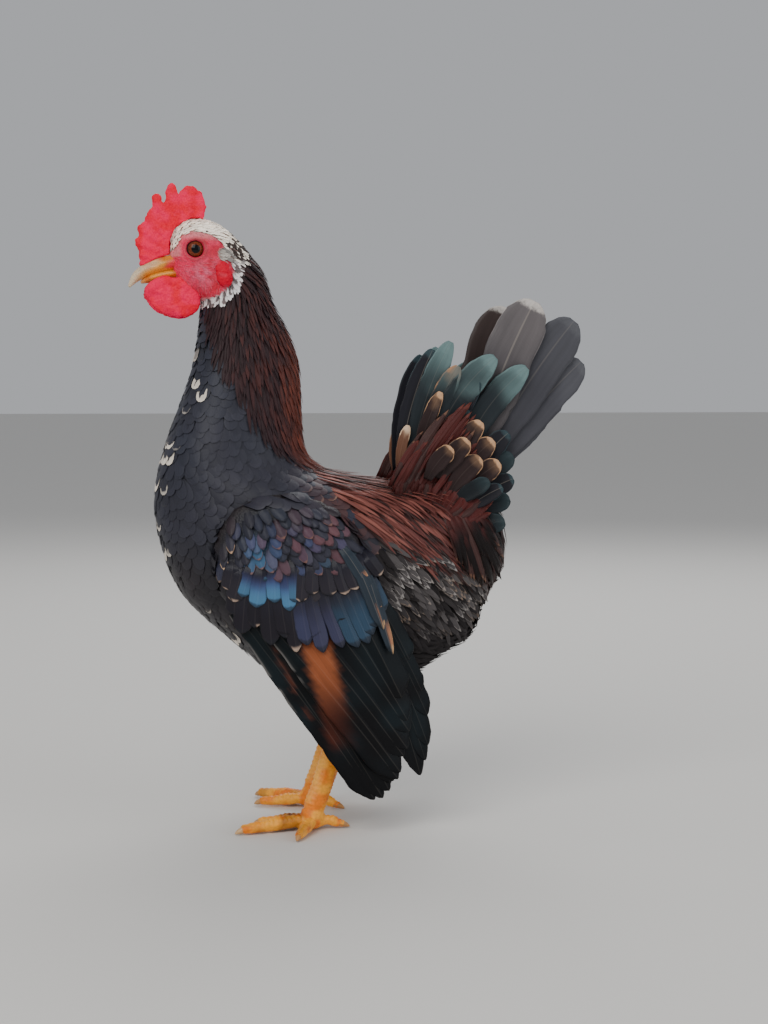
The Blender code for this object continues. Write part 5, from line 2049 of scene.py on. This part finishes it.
def wattle_relief(points: Array, normals: Array) -> Array:
    """Draw the wattle's top up to the beak."""
    up = smooth(0.0, 0.8, normals[:, 2]) * smooth(201.0, 206.0, points[:, 2])
    front = smooth(0.2, 0.9, 0.7 * (normals[:, 2] - normals[:, 0])) * smooth(199.0, 205.0, points[:, 2])
    return 1.3 * up + 2.0 * front * smooth(-70.0, -74.0, points[:, 0])


UPPER_BEAK = (
    ((-65.0, 0, 217.2), 5.0, 3.3, 3.0),
    ((-67.0, 0, 217.2), 5.4, 3.4, 3.2),
    ((-72.0, 0, 216.8), 5.2, 3.2, 3.1),
    ((-76.8, 0, 215.8), 4.3, 2.8, 3.0),
    ((-81.4, 0, 213.9), 3.1, 2.6, 2.6),
    ((-84.8, 0, 211.3), 1.9, 2.0, 1.6),
    ((-87.5, 0, 207.9), 0.45, 0.5, 0.5),
)
LOWER_BEAK = (
    ((-64.5, 0, 213.2), 4.5, 1.7, 2.0),
    ((-66.5, 0, 213.2), 4.7, 1.8, 2.1),
    ((-71.5, 0, 213.0), 4.5, 1.7, 2.0),
    ((-76.5, 0, 212.0), 3.6, 1.7, 1.7),
    ((-80.5, 0, 210.6), 2.4, 1.4, 1.2),
    ((-83.0, 0, 209.6), 0.5, 0.5, 0.5),
)
NOSTRIL = (-78.2, 216.6)
NOSTRIL_DEPTH = 1.1


@dataclass
class HeadPieces:
    """Comb, wattles, ear lobes, beak and eyes."""

    flesh: Material

    def build(self) -> None:
        """Make every piece of the head that is bare."""
        comb = FleshPiece("comb_red", ("comb",), "comb_skin", soften=7, swell=0.25)
        comb.build(comb_tint, comb_relief, self.flesh)
        for side in (-1, 1):
            word = word_of(side)
            wattle = FleshPiece(f"wattle_red_{word}", (f"wattle_{word}",), "comb_skin")
            wattle.build(comb_tint, wattle_relief, self.flesh)
            lobe = FleshPiece(f"ear_lobe_{word}", (f"earlobe_{word}",), "comb_skin", voxel=0.3, swell=0.5)
            lobe.build(lobe_tint, no_relief, self.flesh)
            self.eye(side, word)
        self.beak()

    def eye(self, side: int, word: str) -> None:
        """Make one eyeball."""
        shape = bmesh.new()
        bmesh.ops.create_uvsphere(shape, u_segments=56, v_segments=36, radius=EYE_RADIUS)
        bmesh.ops.translate(shape, vec=Vector((EYE[0], side * EYE[1], EYE[2])), verts=shape.verts)
        mesh = mesh_of(shape, f"eyeball_{word}")
        finish = EyeFinish((EYE[0] + CENTRE_SHIFT, side * EYE[1], EYE[2])).build()
        add_piece(mesh.name, mesh, finish, "eye", (f"eye_{word}",))

    def beak(self) -> None:
        """Make both halves of the beak, with nostrils in the upper one."""
        horn = SkinFinish("horn_of_beak", 2600.0, 0.00008, 0.34, 0.05).build()
        for word, stations in (("upper", UPPER_BEAK), ("lower", LOWER_BEAK)):
            shape = tube(stations, 56, 70, (0, -1, 0))
            if word == "upper":
                self.press_nostrils(shape)
            mesh = mesh_of(shape, f"bill_{word}")
            attribute(mesh, "skin_tone", self.beak_tint(design_points(mesh)))
            add_piece(mesh.name, mesh, horn, "beak_horn", (f"beak_{word}",))

    @staticmethod
    def press_nostrils(shape: BMesh) -> None:
        """Press a nostril into each side of the upper beak."""
        for vertex in shape.verts:
            reach = math.hypot(vertex.co.x - NOSTRIL[0], (vertex.co.z - NOSTRIL[1]) * 1.7)
            for side in (-1, 1):
                if vertex.co.y * side > 0:
                    vertex.co.y -= side * NOSTRIL_DEPTH * math.exp(-reach ** 2)

    @staticmethod
    def beak_tint(points: Array) -> Array:
        """Colour the beak: red skin over its root, yellow sides and a pale tip."""
        x, z = points[:, 0], points[:, 2]
        yellow = blend(Hue.BEAK_YELLOW, Hue.BEAK_ORANGE, smooth(0.4, 0.8, cells(points, 2.6, 61)))
        top = smooth(-0.4, 2.2, z - (213.6 + 0.42 * (x + 80.0)))
        pale = np.clip(smooth(-80.5, -87.0, x) + 0.6 * top * smooth(-74.0, -78.0, x), 0, 1)
        root = smooth(-74.5, -71.5, x - 1.0 * (z - 216.5)) * smooth(214.2, 215.6, z)
        return blend(blend(yellow, Hue.BEAK_PALE, pale), Hue.BEAK_ROOT, root)


# Toes: hub end, nail end, how far the flesh is drawn out and how far the nail goes.
TOES = (
    ((-22.0, 0.0), (-45.5, -4.5), 2.6, 5.0),
    ((-20.5, -2.0), (-27.2, -16.6), 1.8, 3.6),
    ((-21.0, 1.5), (-38.0, 7.5), 2.2, 4.4),
    ((-17.0, 0.0), (-7.0, -0.5), -1.2, 1.2),
)
FOOT_HUB = Vector((-20.0, -LEG_Y, 0.0))


def ripple(place: Array, pitch: float) -> Array:
    """Give waves between 0 and 1 along a line."""
    return 0.5 - 0.5 * np.cos(2 * math.pi * place / pitch)


@dataclass
class Leg:
    """Shank, foot and nails of one leg."""

    side: int
    nail_length: float = 5.0
    nail_stations: int = 5

    def relief(self, points: Array, normals: Array) -> Array:
        """Give the height of the scutes: bands down the shank's front and along the toes' tops."""
        x, y, z = points[:, 0] - leg_step(self.side), points[:, 1] * self.side - LEG_Y, points[:, 2]
        shank = smooth(7.5, 10.0, z)
        line = z + 0.35 * x
        height = shank * smooth(0.15, 0.5, -normals[:, 0]) * (0.34 * ripple(line, 2.1) ** 0.5 - 0.2)
        height += shank * smooth(0.15, 0.5, normals[:, 0]) * 0.22 * ripple(line, 1.5)
        reach = np.hypot(x + 20.0, y)
        height += (1 - shank) * smooth(0.1, 0.6, normals[:, 2]) * (0.36 * ripple(reach, 1.75) ** 0.5 - 0.2)
        under = smooth(0.2, -0.3, normals[:, 2]) * (z > 1.0)
        height += (1 - shank) * under * 0.25 * (ripple(reach, 6.0) - 0.6)
        return np.where(z < 0.4, np.minimum(height, 0.0), height)

    def tint(self, points: Array, normals: Array) -> Array:
        """Colour the leg orange yellow: painted highlight on the shank's front, darker low on the toes."""
        x, y, z = points.T
        base = blend(Hue.LEG, Hue.LEG_ORANGE, smooth(0.35, 0.8, cells(points, 3.2, 51)))
        # Painted highlight down the front of the shank, where it faces the light.
        base = blend(base, Hue.SHIN_PAINTED_HIGHLIGHT, 0.5 * smooth(0.1, 0.7, -normals[:, 0]) * smooth(8.0, 14.0, z))
        # Darker at random low on the toes, and in a patch on the left foot's toes.
        low_dark = smooth(0.55, 0.8, cells(points, 4.5, 52)) * smooth(9.0, 4.0, z)
        patch = smooth(5.5, 2.5, np.abs(x + 31.0 - 0.5 * z)) * smooth(8.5, 5.5, z)
        patch *= smooth(-26.0, -23.5, -np.abs(y)) * (0.3 + 0.6 * cells(points, 2.6, 53))
        return blend(base, Hue.TOE_DARK, np.clip(0.4 * low_dark + patch * (self.side < 0), 0, 1))

    def toe(self, start: Point, end: Point) -> Tuple[Vector, Vector]:
        """Turn one toe with the foot.

        Args:
            start: Its hub end on the left foot.
            end: Its nail end there.

        Returns:
            Its nail end and its direction.
        """
        turn = Matrix.Rotation(math.radians(0.0 if self.side < 0 else FAR_FOOT_TURN), 3, 'Z')
        first, last = (FOOT_HUB + turn @ (Vector((x, y - LEG_Y, 0.0)) - FOOT_HUB) for x, y in (start, end))
        along = (last - first).normalized()
        place = Vector((last.x + leg_step(self.side), -self.side * last.y, 0.0))
        return place, Vector((along.x, -self.side * along.y, 0.0))

    def nail(self, end: Vector, along: Vector, reach: float) -> BMesh:
        """Make one nail.

        Args:
            end: Nail end of its toe.
            along: Direction of the toe.
            reach: How far the nail goes past the toe.

        Returns:
            The mesh in millimetres.
        """
        stations = []
        for t in np.linspace(0.0, 1.0, self.nail_stations):
            x, y, _ = end + along * (reach - self.nail_length * (1 - t))
            wide = 1.25 * (1 - t) ** 0.5 + 0.3
            stations.append(((x, y, 2.2 - 1.4 * t ** 1.8), wide, wide, wide))
        return tube(stations, 20, 24, tuple(Vector((0, 0, 1)).cross(along)))

    @staticmethod
    def draw_out(mesh: Mesh, end: Vector, along: Vector, drawn: float) -> None:
        """Draw a toe's end out and in around its nail.

        Args:
            mesh: The leg, placed.
            end: The toe's end.
            along: Its direction.
            drawn: How far it moves.
        """
        shift = Vector((CENTRE_SHIFT, 0.0, 0.0))
        for vertex in mesh.vertices:
            spot = vertex.co / MM - shift - end
            ahead = spot.x * along.x + spot.y * along.y
            aside = spot.y * along.x - spot.x * along.y
            if abs(aside) < 3.6 and -5.0 < ahead < 4.0 and spot.z < 8.0:
                centre = Vector((spot.x - ahead * along.x, spot.y - ahead * along.y, spot.z - 2.0))
                vertex.co += (along * drawn - centre * 0.34) * float(smooth(-5.0, 1.5, ahead)) * MM

    def build(self, scales: Material, nail: Material) -> None:
        """Make the leg.

        Args:
            scales: Material of shank and foot.
            nail: Material of the nails.
        """
        word = word_of(self.side)
        parts = (f"shank_{word}", f"foot_{word}")
        piece = FleshPiece(f"leg_{word}", parts, "leg_scales", 0.42, 5, 0.08, 0.16, 1.1)
        leg = piece.build(self.tint, self.relief, scales)
        joined = bmesh.new()
        for start, end, drawn, reach in TOES:
            place, along = self.toe(start, end)
            self.draw_out(leg.data, place, along, drawn)
            form = poured(self.nail(place, along, reach), "nail_form")
            joined.from_mesh(form)
            bpy.data.meshes.remove(form)
        for vertex in leg.data.vertices:
            vertex.co.z = max(vertex.co.z, 0.0)
        name, claws = f"nails_{word}", [f"claw_{word}_{number}" for number in (1, 2, 3, 4)]
        add_piece(name, mesh_of(joined, name), nail, "claw_horn", claws)


def build_coats(surfaces: Sequence[Object], soft: Material, sleek: Material, covert: Material) -> None:
    """Grow every region of small feathers.

    Args:
        surfaces: The bird's skin and the wings' arms.
        soft: Material of down and fluff.
        sleek: Material of sleek feathers.
        covert: Material of the wings' coverts.
    """
    coat = Coat(surfaces)
    neck = {"slot": "neck_plumage"}
    patches = (
        (CoatPatch("plumage_thighs", Region.THIGH, SCALE, 2.2, 6.5, 1.9, 0.9, 0.18), soft),
        (CoatPatch("plumage_vent", Region.VENT, FLUFF, 1.5, 10.5, 1.15, 1.4, 0.42, 2.2), soft),
        (CoatPatch("plumage_breast", Region.BREAST, SCALE, 2.4, 8.2, 2.7, 0.75, 0.18), sleek),
        (CoatPatch("plumage_bow", Region.BOW, BOW, 2.4, 7.2, 2.0, 1.9, 0.16), covert),
        (CoatPatch("plumage_saddle", Region.SADDLE, LANCE, 1.3, 18.0, 0.8, 1.7, 0.16, 1.3), sleek),
        (CoatPatch("plumage_hackle", Region.HACKLE, LANCE, 1.3, 16.0, 1.1, 1.2, 0.12, 0.5, **neck), sleek),
        (CoatPatch("face_bristles", Region.BARE, LANCE, 1.5, 2.0, 0.07, 0.3, 0.3), soft),
        (CoatPatch("plumage_crown", Region.CROWN, SCALE, 0.85, 2.4, 0.5, 0.42, 0.25, 0.25, **neck), soft),
    )
    for patch, finish in patches:
        coat.grow(patch, finish)


@dataclass(frozen=True)
class Studio:
    """Pale floor, soft lights and the camera at the photograph's angle."""

    place: Triple = (-0.11367, -0.69619, 0.169)
    turn: float = -10.0
    pitch: float = 3.9
    focal: float = 1800.0
    rows: int = 1024
    sensor: float = 36.0
    aim: Triple = (0.0, 0.0, 0.12)
    air: Tuple[float, ...] = (0.86, 0.88, 0.92, 1.0)

    def build(self) -> None:
        """Make the floor, the lights and the camera."""
        self.floor()
        self.lights()
        data = bpy.data.cameras.new("camera")
        data.sensor_fit = 'VERTICAL'
        data.sensor_height = self.sensor
        data.lens = self.sensor * self.focal / self.rows
        data.clip_start = 0.01
        camera = put_in("camera", data)
        turn = Matrix.Rotation(math.radians(self.turn), 4, 'Z')
        tilt = Matrix.Rotation(math.radians(90 - self.pitch), 4, 'X')
        camera.matrix_world = Matrix.Translation(self.place) @ turn @ tilt
        bpy.context.scene.camera = camera

    def floor(self) -> None:
        """Make the floor and the pale surroundings."""
        shape = bmesh.new()
        bmesh.ops.create_grid(shape, x_segments=1, y_segments=1, size=12.0)
        floor = put_in("floor", poured(shape, "floor"))
        floor.data.materials.append(Nodes("floor_pale").finish(Hue.FLOOR, 0.8, 0.2))
        world = bpy.data.worlds.new("soft_room")
        world.use_nodes = True
        air = world.node_tree.nodes["Background"].inputs
        air["Color"].default_value = self.air
        air["Strength"].default_value = 0.5
        bpy.context.scene.world = world

    def lights(self) -> None:
        """Hang three large soft lights."""
        rows = (
            ("key", (-0.55, -0.9, 0.95), 11.0, 0.9, (1.0, 0.98, 0.95)),
            ("fill", (0.9, -0.7, 0.5), 4.0, 1.0, (0.95, 0.97, 1.0)),
            ("rim", (0.3, 0.8, 0.9), 6.0, 0.8, (1.0, 1.0, 1.0)),
        )
        for name, place, power, size, colour in rows:
            data = bpy.data.lights.new(name, 'AREA')
            data.energy = power
            data.size = size
            data.color = colour
            turn = (Vector(self.aim) - Vector(place)).to_track_quat('-Z', 'Y')
            put_in(name, data).matrix_world = Matrix.Translation(place) @ turn.to_matrix().to_4x4()


def write_sizes() -> None:
    """Bring the view layer up to date."""
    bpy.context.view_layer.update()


def main() -> None:
    """Build the bird from its skin outwards."""
    logging.basicConfig(level=logging.INFO, format="%(name)s %(message)s")
    Studio().build()
    sleek = PlumeFinish("sleek_plumage", 0.6, 14.0, 0.12, 0.04, 0.6, specular=0.25, root_dark=0.25).build()
    soft = PlumeFinish("soft_plumage", 0.85, 12.0, 0.15, 0.04, 0.6, specular=0.12).build()
    quill = PlumeFinish("quill_plumage", 0.5, 90.0, 0.25, 0.06, 0.4, specular=0.14, shaft_width=0.05).build()
    covert = PlumeFinish("covert_plumage", 0.5, 30.0, 0.3, 0.08, 0.45, specular=0.25).build()
    flesh = SkinFinish("comb_flesh", 1300.0, 0.0003, 0.5, 0.08, 0.12, 0.10, 0.12).build()
    scales = SkinFinish("scaled_leg", 900.0, 0.0002, 0.45, 0.08, mottle=0.2, crease_shade=0.12).build()
    nail = HornFinish("horn_of_nails", Hue.NAIL_TIP, Hue.NAIL_ROOT, -60.0, -30.0).build()
    skin = Skin().build()
    wings = [Wing(side, quill, covert) for side in (-1.0, 1.0)]
    build_coats([skin, *(wing.arm() for wing in wings)], soft, sleek, covert)
    for wing in wings:
        wing.build()
    Tail(quill).build()
    HeadPieces(flesh).build()
    for side in (-1, 1):
        Leg(side).build(scales, nail)
    write_sizes()
    LOG.info("finished")


if __name__ == "__main__":
    main()
